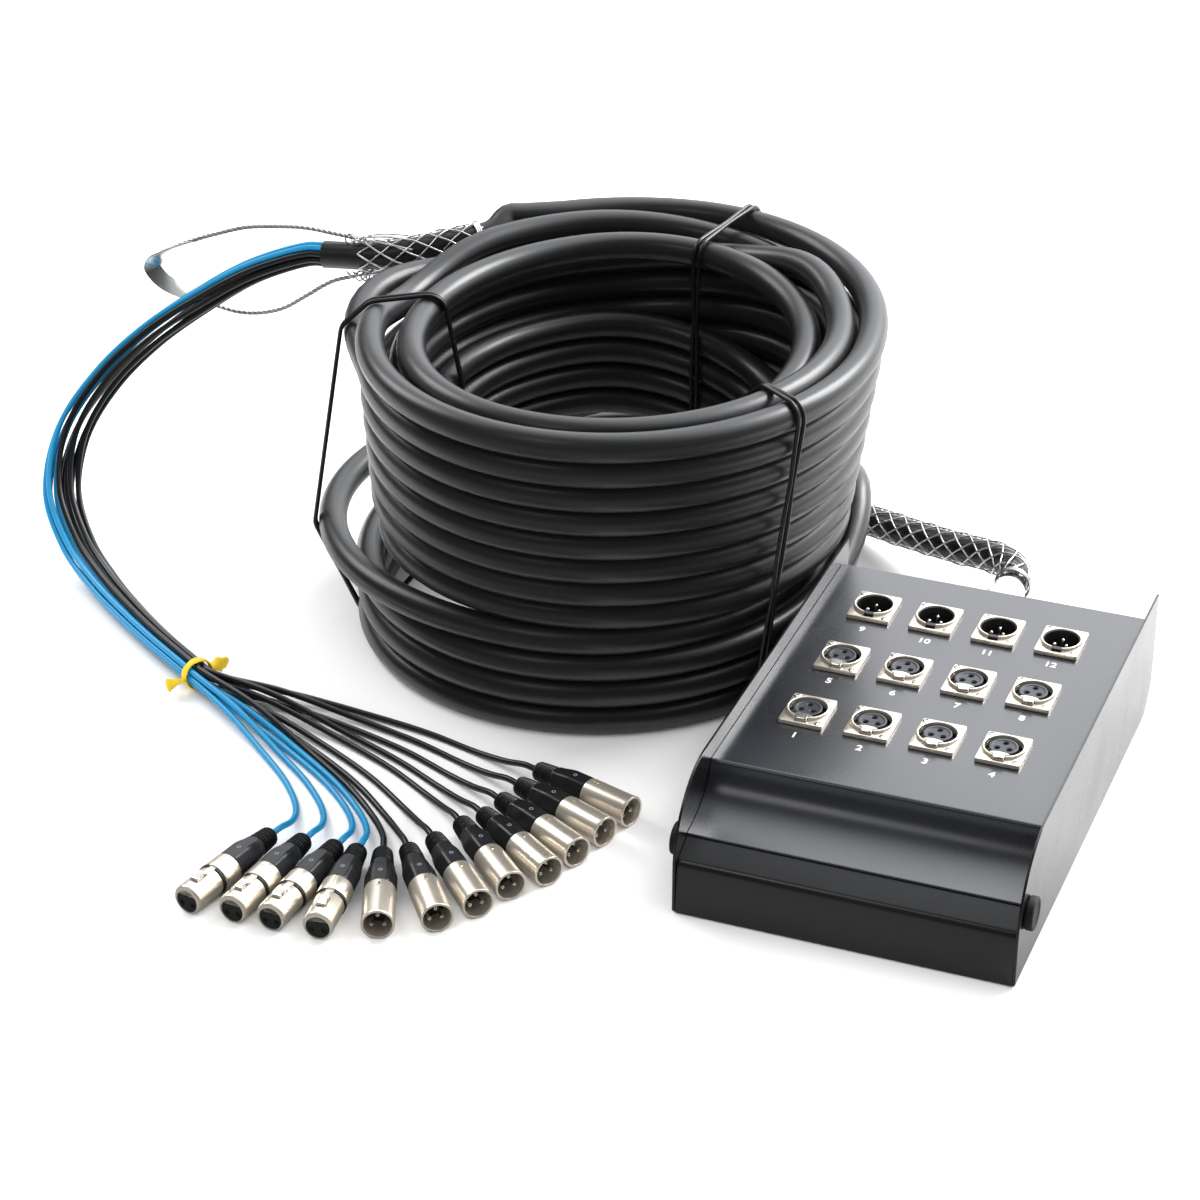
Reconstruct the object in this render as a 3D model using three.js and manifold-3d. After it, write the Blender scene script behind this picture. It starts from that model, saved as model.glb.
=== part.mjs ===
// A stage box snake: a folded steel box with twelve panel sockets, and a coiled multicore cable
// that ends in twelve tails, each with its own plug.
// Millimetres, +Z up. The origin is the middle of the box's underside, and its sloped front faces -Y.
import * as THREE from "three";
import { mergeVertices } from "three/addons/utils/BufferGeometryUtils.js";
import Module from "manifold-3d";

const wasm = await Module();
wasm.setup();

// Facets of round pieces and bends
const pinSides = 4;
const socketSides = 10;
const plugSides = 10;
const glandSides = 12;
const hexSides = 6;
const bumperSides = 16;
const bandSides = 16;
const bendSteps = 4;
const coverBendSteps = 3;
const coveSteps = 7;
const outlineSegments = 7;

// Gaps
const seatGap = 0.3;
const slideGap = 0.35;
const overrun = 1;
const weld = 0.6;

// Folded steel box
const boxWidth = 196;
const boxDepth = 312;
const boxFront = -boxDepth / 2;
const boxRear = boxDepth / 2;
const cheekHeight = 79;
const sheet = 1.5;
const foldRadius = 3;
const cheekNose = { reach: 49, rise: 51 };
const cheekHeelRadius = 27;

// Cover
const panelHeight = 68;
const panelSetBack = 59;
const rearRecess = 13;
const panelFront = boxFront + panelSetBack;
const panelRear = boxRear - rearRecess;
const rearFoldRadius = 12;
const coverFoldRadius = 2.5;

// Front fold and the ledge above it
const ledge = { setBack: 19.5, z: 40.5 };
const ledgeY = boxFront + ledge.setBack;
const lipRadius = 5.5;
const lipLean = 2.4;
const lipSlope = THREE.MathUtils.degToRad(25);
const coveSlackShare = 0.13;
const coveDropShare = 0.8;

// Side bumpers
const bumper = { radius: 9.6, thickness: 5, setBack: 17, z: 39, bevel: 1.2 };

// Grid of panel sockets
const socketColumns = 4;
const socketRows = 3;
const columnPitch = 38.4;
const gridShift = -3.5;
const gridMargin = { front: 63.8, rear: 48 };
const rowPitch = (panelRear - panelFront - gridMargin.front - gridMargin.rear) / (socketRows - 1);

// One panel socket
const flange = { width: 26, depth: 31, thickness: 2.4 };
const rim = { radius: 11.75, wall: 1.5, rise: 1.9 };
const socketBody = { radius: 11.2, depth: 23 };
const insertRadius = 8.9;
const insertDrop = 0.5;
const grooveDepth = 3;
const maleCavityDepth = 16.5;
const cutoutGap = 0.5;
const pushTab = { width: 9, height: 3.4, reach: 1.4, travel: 1.5 };

// Contacts of the male sockets and plugs
const pin = { radius: 1.2, circle: 4.1, recess: 5.6 };
const pinBearings = [-150, -30, 90].map(THREE.MathUtils.degToRad);

// Free plugs, measured from the cable entry to the nose
const plug = { radius: 9.3, waist: 8.6, neck: 4.9, mouth: 3.2, neckLength: 19, bootLength: 40 };
const malePlug = { length: 72, wall: 1.3, cavity: 19 };
const femalePlug = { length: 78, noseRadius: 8.5, noseStep: 2.2, face: 6.9, dish: 1.4 };
const plugFlare = 5;
const plugLatch = { length: 9, width: 5, height: 3, proud: 1, back: 16, travel: 1.2 };
const floorGap = 0.1;

// Places of the plugs' cable entries, counted from the tie in plug radii, and their headings
const femalePlaceShares = [
  { x: 13.011, y: -15.484, turn: -101 },
  { x: 15.161, y: -15.269, turn: -95.6 },
  { x: 17.258, y: -15.161, turn: -93 },
  { x: 18.656, y: -15.054, turn: -82 },
];
const malePlaceShares = [
  { x: 20.161, y: -14.785, turn: -68 },
  { x: 21.398, y: -13.871, turn: -53 },
  { x: 22.366, y: -12.258, turn: -46 },
  { x: 23.226, y: -10.054, turn: -43.5 },
  { x: 24.086, y: -8.656, turn: -35.4 },
  { x: 24.462, y: -6.774, turn: -29.4 },
  { x: 24.892, y: -4.785, turn: -23.5 },
  { x: 25.323, y: -2.796, turn: -18 },
];

// Multicore cable and its coil
const cableRadius = 8.9;
const cableSides = 6;
const stepsPerTurn = 24;
const turnPitch = 18.3;
const layerPitch = 18.9;
const levels = 12;
const coilStart = THREE.MathUtils.degToRad(80);
const climbTurn = 0.25;
const wideTurns = 3;
const innerTop = 8;
const middleFoot = wideTurns + 2;
const coilFoot = { x: -257.5, y: 155, halfWidth: 147.5, halfDepth: 158 };
const coilWaist = { x: -249, y: 146, halfWidth: 140, halfDepth: 147 };
const coilRim = { x: -237, y: 129, halfWidth: 150, halfDepth: 163 };
const bulges = [
  { swell: 12, lift: 30, turn: 2.86, span: 0.12 },
  { swell: 27, lift: 0, turn: 3.28, span: 0.25 },
  { swell: 0, lift: 7, turn: 9.92, span: 0.12 },
  { swell: 24, lift: 5, turn: 21.26, span: 0.11 },
  { swell: 0, lift: -12, turn: 22.26, span: 0.11 },
];

// Stages of the winding, in turns from the lead
const startEnd = 0.155;
const diveStart = 3.6;
const diveEnd = 4.38;
const divePower = 1.1;
const innerStart = 4.75;
const riseStart = innerTop + climbTurn / 2;
const riseEnd = riseStart + 1;
const middleStart = 9.5;
const fallStart = riseEnd + levels - 1 - middleFoot - climbTurn;
const fallEnd = 15.2;
const shiftStart = 15.17;
const outerStart = 15.42;
const rimStart = 22.5;
const flareStart = 22.8;
const flareEnd = 23.05;
const coilTurns = 23.125;
const bluntShare = 0.5;

// Gland in the rear wall
const gland = { z: 48, hexRadius: 15.5, hexLength: 9, domeRadius: 13, domeLength: 18, mouth: 10.2, tail: 12 };
const glandNut = { radius: 15, thickness: 4.5 };
const glandThread = 10.5;
const domeTaperShare = 1 / 3;

// Wire grips over the cable
const gripWall = 1.5;
const gripRoom = 0.35;
const gripSides = 8;
const leadSides = 8;
const boxLeadSteps = 22;
const farLeadSteps = 14;
const boxGripRings = [1, 17];
const farGripRings = [4, 13];

// Route of the lead, in shares of the way from the gland's mouth to the coil
const boxLeadShares = [
  [-0, 0.111, -0],
  [0.0467, 0.2329, 0.0385],
  [0.1349, 0.3344, 0.1538],
  [0.2439, 0.4224, 0.3077],
  [0.3684, 0.5239, 0.4615],
  [0.4981, 0.6323, 0.6154],
  [0.6227, 0.7338, 0.7436],
  [0.7524, 0.8286, 0.8846],
  [0.8925, 0.903, 0.9897],
];

// Route of the far lead from the coil to the cut end of its jacket
const farLeadRoute = [
  [-371, 247, 204],
  [-397, 229, 199],
  [-422, 215, 194.5],
  [-447, 208, 191.5],
  [-472, 205, 190],
];

// Tails: twelve cords in a loose bundle, nine round three
const tailRadius = 1.9;
const tailSides = 8;
const outerTails = 9;
const innerTails = 3;
const tailRings = { outer: 6.15, inner: 2.35, twistShare: 1 / 6 };
const bundleSteps = 12;
const bundleSwell = { side: 0.85, up: 0.3 };
const bundleTwist = { turn: THREE.MathUtils.degToRad(80), stretchShare: 0.65 };
const bundleRoute = [
  [-500, 200, 184],
  [-526, 191, 171],
  [-549, 181, 156],
  [-572, 170, 139],
  [-590, 158, 123],
  [-605, 145, 105],
  [-616, 131, 87],
  [-621, 116, 68],
  [-619, 101, 50],
  [-609, 85, 33],
  [-593, 70, 21],
  [-572, 53, 13.5],
  [-545, 32, 10.8],
  [-512, 6, 10.3],
];

// How each tail fans out from the tie to its plug, in shares of the stretch between them
const fanReachShare = 0.6;
const fanEntry = 36;
const fanStraight = 8;
const fanArch = THREE.MathUtils.degToRad(14);
const fanShares = [0.13, 0.3, 0.5, 0.7, 0.87, 1];
const fanFallShare = 0.4;
const fanRiseShare = 0.75;

// Yellow twist tie round the tails
const tie = { x: -454, y: -33, width: 9, wall: 1.6, room: 0.4, lobe: 12, lobeThickness: 2.2 };

// Pulling eye: a steel rope from the grip's top to its underside, with a thimble in the bight
const ropeRadius = 1.4;
const ropeSides = 8;
const eyeSteps = 16;
const eyeRoute = [
  [-450, 207.5, 203.8],
  [-467, 206, 205.5],
  [-485, 203, 207.5],
  [-505, 201, 206],
  [-525, 199, 203],
  [-544, 196, 197],
  [-562, 194, 190],
  [-577, 192, 183],
  [-588, 191, 176],
  [-592, 191, 169],
  [-588, 191, 162],
  [-579, 192, 155],
  [-563, 194, 149],
  [-549, 196, 145],
  [-534, 198, 142],
  [-518, 200, 143],
  [-501, 201, 149],
  [-486, 203, 159],
  [-468, 206, 171],
  [-450, 207.5, 177.6],
];
const thimble = { width: 9.5, thickness: 1.3, first: 6, last: 12 };

// Colours and surfaces
const finish = (color, roughness, metalness) => () =>
  new THREE.MeshStandardMaterial({ color, roughness, metalness });
const blackSteel = finish(0x17191c, 0.42, 0.5);
const panelSteel = finish(0x23262c, 0.38, 0.5);
const blackRubber = finish(0x0e0e0f, 0.85, 0);
const nickel = finish(0xd8d4cc, 0.25, 1);
const chrome = finish(0xe6e6e6, 0.15, 1);
const cableJacket = finish(0x1d1e20, 0.55, 0);
const blueJacket = finish(0x1b8fd6, 0.45, 0);
const blackJacket = finish(0x141415, 0.5, 0);
const wireSteel = finish(0xc8cacb, 0.3, 1);
const paleNylon = finish(0xe4e6e6, 0.4, 0);
const yellowPlastic = finish(0xf2d21c, 0.5, 0);

const { lerp, clamp, smoothstep } = THREE.MathUtils;
const mergeReach = 1e-4;
const vector = (x, y, z) => new THREE.Vector3(x, y, z);
const up = vector(0, 0, 1);

// A closed geometry as a solid that can be joined and cut.
function solidOf(geometry) {
  const bare = geometry.index ? geometry.toNonIndexed() : geometry.clone();
  bare.deleteAttribute("normal");
  bare.deleteAttribute("uv");
  const merged = mergeVertices(bare, mergeReach);
  return new wasm.Manifold(
    new wasm.Mesh({
      numProp: 3,
      vertProperties: merged.attributes.position.array,
      triVerts: new Uint32Array(merged.index.array),
    }),
  );
}

// The geometry of a solid made by joining and cutting.
function geometryOf(solid) {
  const { vertProperties, triVerts } = solid.getMesh();
  const geometry = new THREE.BufferGeometry();
  geometry.setAttribute("position", new THREE.BufferAttribute(vertProperties, 3));
  geometry.setIndex(new THREE.BufferAttribute(triVerts, 1));
  return geometry;
}

const joined = (...solids) => solids.reduce((whole, piece) => whole.add(piece));

function addMesh(parent, name, shape, material) {
  const geometry = shape.isBufferGeometry ? shape : geometryOf(shape);
  const mesh = new THREE.Mesh(geometry, material());
  mesh.name = name;
  parent.add(mesh);
  return mesh;
}

// A block between two corners.
function block(x0, x1, y0, y1, z0, z1) {
  const geometry = new THREE.BoxGeometry(x1 - x0, y1 - y0, z1 - z0);
  return solidOf(geometry.translate((x0 + x1) / 2, (y0 + y1) / 2, (z0 + z1) / 2));
}

// A round bar that stands on z0.
function bar(radius, z0, z1, sides) {
  const geometry = new THREE.CylinderGeometry(radius, radius, z1 - z0, sides);
  return solidOf(geometry.rotateX(Math.PI / 2).translate(0, 0, (z0 + z1) / 2));
}

// A turned piece about Z from pairs of radius and height, first and last on the axis.
function turned(profile, sides) {
  const points = profile.map(([radius, height]) => new THREE.Vector2(radius, height));
  return solidOf(new THREE.LatheGeometry(points, sides).rotateX(Math.PI / 2));
}

// An outline in the YZ plane, drawn out along X.
function acrossBox(shape, x0, x1, curveSegments) {
  const geometry = new THREE.ExtrudeGeometry(shape, { depth: x1 - x0, bevelEnabled: false, curveSegments });
  geometry.applyMatrix4(new THREE.Matrix4().makeBasis(vector(0, 1, 0), up, vector(1, 0, 0)));
  return solidOf(geometry.translate(x0, 0, 0));
}

// An outline in the XZ plane, drawn out along Y.
function alongBox(shape, y0, y1, curveSegments) {
  const geometry = new THREE.ExtrudeGeometry(shape, { depth: y1 - y0, bevelEnabled: false, curveSegments });
  geometry.applyMatrix4(new THREE.Matrix4().makeBasis(vector(1, 0, 0), up, vector(0, -1, 0)));
  return solidOf(geometry.translate(0, y1, 0));
}

// The outline of a bent sheet whose outer face follows the points, with its wall on their left.
function bentSheet(points, thickness) {
  const inner = points.map((point, i) => {
    const before = points[Math.max(i - 1, 0)];
    const after = points[Math.min(i + 1, points.length - 1)];
    const way = after.clone().sub(before).normalize();
    const lean = i === 0 || i === points.length - 1 ? 1 : cornerShare(before, point, after);
    return point.clone().add(new THREE.Vector2(-way.y, way.x).multiplyScalar(thickness / lean));
  });
  return new THREE.Shape([...points, ...inner.reverse()]);
}

// How much a corner's mitre shortens the wall: the cosine of half its turn.
function cornerShare(before, point, after) {
  const a = point.clone().sub(before).normalize();
  const b = after.clone().sub(point).normalize();
  return Math.sqrt((1 + a.dot(b)) / 2);
}

// Points on an arc in the YZ plane.
function arc(y, z, radius, from, to, steps) {
  return Array.from({ length: steps + 1 }, (_, i) => {
    const angle = lerp(from, to, i / steps);
    return new THREE.Vector2(y + radius * Math.cos(angle), z + radius * Math.sin(angle));
  });
}

// The side view of a cheek: a quarter ellipse in front and a rounded heel behind.
function cheekOutline() {
  const shape = new THREE.Shape();
  shape.moveTo(boxFront, 0);
  shape.lineTo(boxFront, cheekHeight - cheekNose.rise);
  shape.absellipse(
    boxFront + cheekNose.reach,
    cheekHeight - cheekNose.rise,
    cheekNose.reach,
    cheekNose.rise,
    Math.PI,
    Math.PI / 2,
    true,
  );
  shape.lineTo(boxRear, cheekHeight);
  shape.lineTo(boxRear, cheekHeelRadius);
  shape.absarc(boxRear - cheekHeelRadius, cheekHeelRadius, cheekHeelRadius, 0, -Math.PI / 2, true);
  return shape;
}

// The front view of the folded floor and cheeks.
function troughOutline() {
  const half = boxWidth / 2;
  const inner = foldRadius - sheet;
  const shape = new THREE.Shape();
  shape.moveTo(-half, cheekHeight);
  shape.absarc(-half + foldRadius, foldRadius, foldRadius, Math.PI, Math.PI * 1.5, false);
  shape.absarc(half - foldRadius, foldRadius, foldRadius, Math.PI * 1.5, Math.PI * 2, false);
  shape.lineTo(half, cheekHeight);
  shape.lineTo(half - sheet, cheekHeight);
  shape.absarc(half - foldRadius, foldRadius, inner, 0, -Math.PI / 2, true);
  shape.absarc(-half + foldRadius, foldRadius, inner, -Math.PI / 2, -Math.PI, true);
  shape.lineTo(-half + sheet, cheekHeight);
  return shape;
}

const lipCentre = { y: boxFront + lipLean + lipRadius, z: 0 };
const lipTop = Math.PI / 2 + lipSlope;
lipCentre.z =
  ledge.z -
  lipRadius * Math.sin(lipTop) -
  (ledgeY - lipCentre.y - lipRadius * Math.cos(lipTop)) * Math.tan(lipSlope);

// The front face with its rounded lip, up to the ledge. Its wall lies on the right of the points.
function frontFold() {
  const outer = [
    new THREE.Vector2(boxFront, sheet / 2),
    ...arc(lipCentre.y, lipCentre.z, lipRadius, Math.PI, lipTop, bendSteps),
    new THREE.Vector2(ledgeY, ledge.z),
  ];
  const reach = boxWidth / 2 - sheet + weld;
  return acrossBox(bentSheet(outer.reverse(), sheet), -reach, reach);
}

// The rear wall, folded up from the floor.
function rearWall() {
  const centre = panelRear - rearFoldRadius;
  const outer = [
    new THREE.Vector2(centre - rearFoldRadius, 0),
    ...arc(centre, rearFoldRadius, rearFoldRadius, -Math.PI / 2, 0, bendSteps),
    new THREE.Vector2(panelRear, panelHeight - sheet - seatGap),
  ];
  const reach = boxWidth / 2 - sheet + weld;
  const wall = acrossBox(bentSheet(outer, sheet), -reach, reach);
  const bore = glandThread + seatGap;
  const cutter = new THREE.CylinderGeometry(bore, bore, (sheet + overrun) * 2, bandSides);
  return wall.subtract(solidOf(cutter.translate(0, panelRear, gland.z)));
}

function baseTray() {
  const half = boxWidth / 2 + overrun;
  const trough = alongBox(troughOutline(), boxFront, boxRear, coverBendSteps);
  const cheeks = acrossBox(cheekOutline(), -half, half, outlineSegments);
  return joined(trough.intersect(cheeks), frontFold(), rearWall());
}

// Centres of the panel sockets, the row nearest the front first and each from the left.
const socketCentres = [];
for (let row = 0; row < socketRows; row++) {
  for (let column = 0; column < socketColumns; column++) {
    socketCentres.push({
      x: gridShift + (column - (socketColumns - 1) / 2) * columnPitch,
      y: panelFront + gridMargin.front + row * rowPitch,
    });
  }
}

// The cover: a level panel that bends into a hollow cove down to the ledge.
function topCover() {
  const foot = new THREE.Vector2(ledgeY, ledge.z + sheet + seatGap);
  const drop = panelHeight - foot.y;
  const reach = panelFront - foot.x;
  const bendHeight = panelHeight - coverFoldRadius;
  const bend = arc(panelFront, bendHeight, coverFoldRadius, Math.PI / 2, Math.PI, coverBendSteps);
  const knee = new THREE.Vector2(panelFront - reach * coveSlackShare, panelHeight - drop * coveDropShare);
  const cove = new THREE.QuadraticBezierCurve(bend[bend.length - 1], knee, foot).getPoints(coveSteps);
  const outer = [new THREE.Vector2(panelRear, panelHeight), ...bend, ...cove.slice(1)];
  const half = boxWidth / 2 - sheet - seatGap;
  const cover = acrossBox(bentSheet(outer, sheet), -half, half);
  const underside = panelHeight - sheet;
  const cutout = bar(socketBody.radius + cutoutGap, underside - overrun, panelHeight + overrun, socketSides);
  return socketCentres.reduce(
    (left, centre) => left.subtract(cutout.translate([centre.x, centre.y, 0])),
    cover,
  );
}

// Three contacts that stand on a cavity's floor, side by side round its axis.
function pins(floor, tip) {
  return pinBearings.map((bearing) =>
    bar(pin.radius, floor - weld, tip, pinSides).translate([
      pin.circle * Math.cos(bearing),
      pin.circle * Math.sin(bearing),
      0,
    ]),
  );
}

// Flange of a panel socket, with its underside on the cover.
function flangePlate() {
  const { width, depth, thickness } = flange;
  return block(-width / 2, width / 2, -depth / 2, depth / 2, seatGap, seatGap + thickness);
}

// Heights of a panel socket above the cover.
const flangeTop = seatGap + flange.thickness;
const rimTop = flangeTop + rim.rise;
const rimInner = rim.radius - rim.wall;

// A male panel socket: a deep cup in its flange with three contacts.
function malePanelSocket() {
  const floor = rimTop - maleCavityDepth;
  const cup = turned(
    [
      [0, -socketBody.depth],
      [socketBody.radius, -socketBody.depth],
      [socketBody.radius, flangeTop - weld],
      [rim.radius, flangeTop - weld],
      [rim.radius, rimTop],
      [rimInner, rimTop],
      [rimInner, floor],
      [0, floor],
    ],
    socketSides,
  );
  const bore = bar(rimInner, floor, rimTop + overrun, socketSides);
  return joined(flangePlate().subtract(bore), cup, ...pins(floor, rimTop - pin.recess));
}

// Where the push tab of a female panel socket stands: in the near side of the rim.
const tabBack = -rimInner + slideGap;
const tabFront = -rim.radius - pushTab.reach;

// A female panel socket: an insert inside a rim, with a slot for the push tab.
function femalePanelSocket() {
  const face = rimTop - insertDrop;
  const body = turned(
    [
      [0, -socketBody.depth],
      [socketBody.radius, -socketBody.depth],
      [socketBody.radius, flangeTop - weld],
      [rim.radius, flangeTop - weld],
      [rim.radius, rimTop],
      [rimInner, rimTop],
      [rimInner, face - grooveDepth],
      [insertRadius, face - grooveDepth],
      [insertRadius, face],
      [0, face],
    ],
    socketSides,
  );
  const floor = rimTop - pushTab.height - pushTab.travel - slideGap;
  const half = pushTab.width / 2 + slideGap;
  const slot = block(-half, half, tabFront - slideGap, -insertRadius - slideGap, floor, rimTop + overrun);
  return joined(flangePlate(), body).subtract(slot);
}

// The push tab, level with the rim.
function panelPushTab() {
  const half = pushTab.width / 2;
  const top = rimTop + slideGap;
  const back = -insertRadius - slideGap * 2;
  return block(-half, half, tabFront, back, top - pushTab.height, top);
}

// The places of plugs about the tie.
function plugPlaces(shares) {
  return shares.map(({ x, y, turn }) => ({ x: tie.x + x * plug.radius, y: tie.y + y * plug.radius, turn }));
}
const femalePlaces = plugPlaces(femalePlaceShares);
const malePlaces = plugPlaces(malePlaceShares);

// Height of a plug's axis, and its outline from the cable entry to the shell.
const plugAxis = plug.radius + floorGap;
const bootProfile = [
  [0, 0],
  [plug.mouth, 0],
  [plug.neck, plug.neckLength],
  [plug.waist, plug.neckLength + plugFlare],
  [plug.waist, plug.bootLength],
  [plug.radius, plug.bootLength],
];

function malePlugSolid() {
  const { length, wall, cavity } = malePlug;
  const floor = length - cavity;
  const bore = plug.radius - wall;
  const cup = [[plug.radius, length], [bore, length], [bore, floor], [0, floor]];
  const body = turned([...bootProfile, ...cup], plugSides);
  return joined(body, ...pins(floor, length - pin.recess));
}

// A female plug has a stepped nose with a dished face, and a pocket for its latch.
function femalePlugSolid() {
  const { length, noseRadius, noseStep, face, dish } = femalePlug;
  const body = turned(
    [
      ...bootProfile,
      [plug.radius, length - noseStep],
      [noseRadius, length],
      [face, length],
      [face, length - dish],
      [0, length - dish],
    ],
    plugSides,
  );
  const half = plugLatch.width / 2 + slideGap;
  const floor = plug.radius + plugLatch.proud - plugLatch.height - plugLatch.travel - slideGap;
  const back = length - plugLatch.back - slideGap;
  const front = back + plugLatch.length + slideGap * 2;
  return body.subtract(block(-half, half, floor, plug.radius + overrun, back, front));
}

// The latch of a female plug, standing proud of the shell.
function plugLatchSolid() {
  const half = plugLatch.width / 2;
  const top = plug.radius + plugLatch.proud;
  const back = femalePlug.length - plugLatch.back;
  return block(-half, half, top - plugLatch.height, top, back, back + plugLatch.length);
}

// A holder that lays a piece built along Z on the floor, with its +Y side up.
function layDown(parent, place) {
  const holder = new THREE.Group();
  holder.position.set(place.x, place.y, plugAxis);
  holder.rotation.set(Math.PI / 2, 0, 0);
  const turn = new THREE.Group();
  turn.rotation.set(0, Math.PI / 2 + THREE.MathUtils.degToRad(place.turn), 0);
  holder.add(turn);
  parent.add(holder);
  return turn;
}

// The gland: a locknut inside the rear wall, a thread through it, a hexagon and a domed nut.
function cableGland() {
  const hexEnd = seatGap + gland.hexLength;
  const domeEnd = hexEnd + gland.domeLength;
  const inside = -sheet - seatGap;
  const body = turned(
    [
      [0, inside - glandNut.thickness],
      [glandThread, inside - glandNut.thickness],
      [glandThread, hexEnd],
      [gland.domeRadius, hexEnd],
      [gland.domeRadius, domeEnd - gland.domeLength * domeTaperShare],
      [gland.mouth, domeEnd],
      [gland.mouth, domeEnd + gland.tail],
      [0, domeEnd + gland.tail],
    ],
    glandSides,
  );
  const hexagon = bar(gland.hexRadius, seatGap, hexEnd, hexSides);
  const nut = bar(glandNut.radius, inside - glandNut.thickness, inside, hexSides);
  const whole = joined(body, hexagon, nut);
  return geometryOf(whole).rotateX(-Math.PI / 2).translate(0, panelRear, gland.z);
}
const glandEnd = panelRear + seatGap + gland.hexLength + gland.domeLength + gland.tail;

// A rubber bumper on a cheek, with its face out along +X.
function sideBumper() {
  const { radius, thickness, bevel } = bumper;
  const body = turned(
    [
      [0, seatGap],
      [radius, seatGap],
      [radius, thickness - bevel],
      [radius - bevel, thickness],
      [0, thickness],
    ],
    bumperSides,
  );
  return geometryOf(body).rotateY(Math.PI / 2).translate(boxWidth / 2, 0, 0);
}

// Turns wound so far as whole climbs: level through most of a turn, and up one level at the back.
function climbs(turns) {
  const whole = Math.round(turns);
  return whole - 1 + smoothstep(turns - whole, -climbTurn / 2, climbTurn / 2);
}

// Levels that the cable has climbed after some turns.
function levelAt(turns) {
  if (turns < diveStart) return Math.max(climbs(turns), 0);
  if (turns < innerStart) return lerp(wideTurns, wideTurns + 1, smoothstep(turns, diveEnd, innerStart));
  if (turns < riseStart) return climbs(turns);
  if (turns < riseEnd) return lerp(innerTop, levels - 1, smoothstep(turns, riseStart, riseEnd));
  if (turns < fallStart) return levels + innerTop - climbs(turns);
  if (turns < outerStart) return lerp(middleFoot + 1, middleFoot - 1, smoothstep(turns, fallStart, fallEnd));
  if (turns < rimStart) return climbs(turns) - levels + 1;
  return levels - 1;
}

// How far inside the coil's outer wall the cable lies, in millimetres.
function insetAt(turns) {
  const start = -layerPitch * (1 - smoothstep(turns, 0, startEnd));
  if (turns < diveStart) return start;
  if (turns < innerStart) {
    const crossed = clamp((turns - diveStart) / (diveEnd - diveStart), 0, 1);
    const settled = smoothstep(turns, diveEnd, innerStart);
    const inward = lerp(0, coilFoot.halfWidth - coilWaist.halfWidth + layerPitch * 2, crossed ** divePower);
    return lerp(inward, layerPitch * 2, settled);
  }
  if (turns < riseEnd) return layerPitch * 2;
  if (turns < fallStart) return layerPitch * (2 - smoothstep(turns, riseEnd, middleStart));
  if (turns < outerStart) return layerPitch * (1 - smoothstep(turns, shiftStart, outerStart));
  return -layerPitch * smoothstep(turns, flareStart, flareEnd);
}

// How strong a bulge is after some turns: smoothly from 1 in its middle to nothing at its ends.
function bulgeShare(turns, { turn, span }) {
  const away = Math.abs(turns - turn) / span;
  return away < 1 ? Math.cos((away * Math.PI) / 2) ** 2 : 0;
}

// The coil's outer wall at a height: wide at the foot, drawn in at the waist, wider at the rim.
function wallAt(height) {
  const footTop = cableRadius + floorGap + wideTurns * turnPitch;
  const waist = footTop + turnPitch;
  const top = cableRadius + floorGap + (levels - 1) * turnPitch;
  const [low, high, share] =
    height < waist
      ? [coilFoot, coilWaist, clamp((height - footTop) / (waist - footTop), 0, 1)]
      : [coilWaist, coilRim, clamp((height - waist) / (top - waist), 0, 1)];
  return Object.fromEntries(Object.keys(low).map((key) => [key, lerp(low[key], high[key], share)]));
}

// The cable's centre after some turns, wound anticlockwise as seen from above.
function coilPoint(turns) {
  const height = cableRadius + floorGap + levelAt(turns) * turnPitch;
  const wall = wallAt(height);
  const swell = bulges.reduce((sum, bulge) => sum + bulge.swell * bulgeShare(turns, bulge), 0);
  const lift = bulges.reduce((sum, bulge) => sum + bulge.lift * bulgeShare(turns, bulge) ** 2, 0);
  const inset = insetAt(turns) - swell;
  const angle = coilStart + turns * Math.PI * 2;
  return vector(
    wall.x + (wall.halfWidth - inset) * Math.cos(angle),
    wall.y + (wall.halfDepth - inset) * Math.sin(angle),
    height + lift,
  );
}

// The coil's centre line, with a straight run of one diameter at each end.
function coilLine() {
  const count = Math.round(coilTurns * stepsPerTurn);
  const line = Array.from({ length: count + 1 }, (_, i) => coilPoint((i * coilTurns) / count));
  const startWay = line[0].clone().sub(line[1]).setZ(0).normalize();
  const endWay = line[count].clone().sub(line[count - 1]).setZ(0).normalize();
  const run = cableRadius * 2;
  return [
    line[0].clone().addScaledVector(startWay, run),
    ...line,
    line[count].clone().addScaledVector(endWay, run),
  ];
}

// A closed tube with mitred rings along a line, one corner of each ring on top.
function ringTube(line, radius, sides) {
  const positions = [];
  const index = [];
  line.forEach((point, i) => {
    const before = line[Math.max(i - 1, 0)];
    const after = line[Math.min(i + 1, line.length - 1)];
    const into = i === 0 ? after.clone().sub(point) : point.clone().sub(before);
    const way = after.clone().sub(before).normalize();
    const stretch = 1 / Math.max(into.normalize().dot(way), bluntShare);
    const side = new THREE.Vector3().crossVectors(up, way).normalize();
    const top = new THREE.Vector3().crossVectors(way, side);
    for (let j = 0; j < sides; j++) {
      const angle = (j / sides) * Math.PI * 2;
      const corner = point
        .clone()
        .addScaledVector(top, radius * Math.cos(angle))
        .addScaledVector(side, radius * stretch * Math.sin(angle));
      positions.push(corner.x, corner.y, corner.z);
    }
  });
  for (let i = 0; i + 1 < line.length; i++) {
    for (let j = 0; j < sides; j++) {
      const a = i * sides + j;
      const b = i * sides + ((j + 1) % sides);
      index.push(a, a + sides, b, b, a + sides, b + sides);
    }
  }
  const last = (line.length - 1) * sides;
  for (let j = 1; j + 1 < sides; j++) {
    index.push(0, j, j + 1);
    index.push(last, last + j + 1, last + j);
  }
  const geometry = new THREE.BufferGeometry();
  geometry.setAttribute("position", new THREE.Float32BufferAttribute(positions, 3));
  geometry.setIndex(index);
  return geometry;
}

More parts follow.
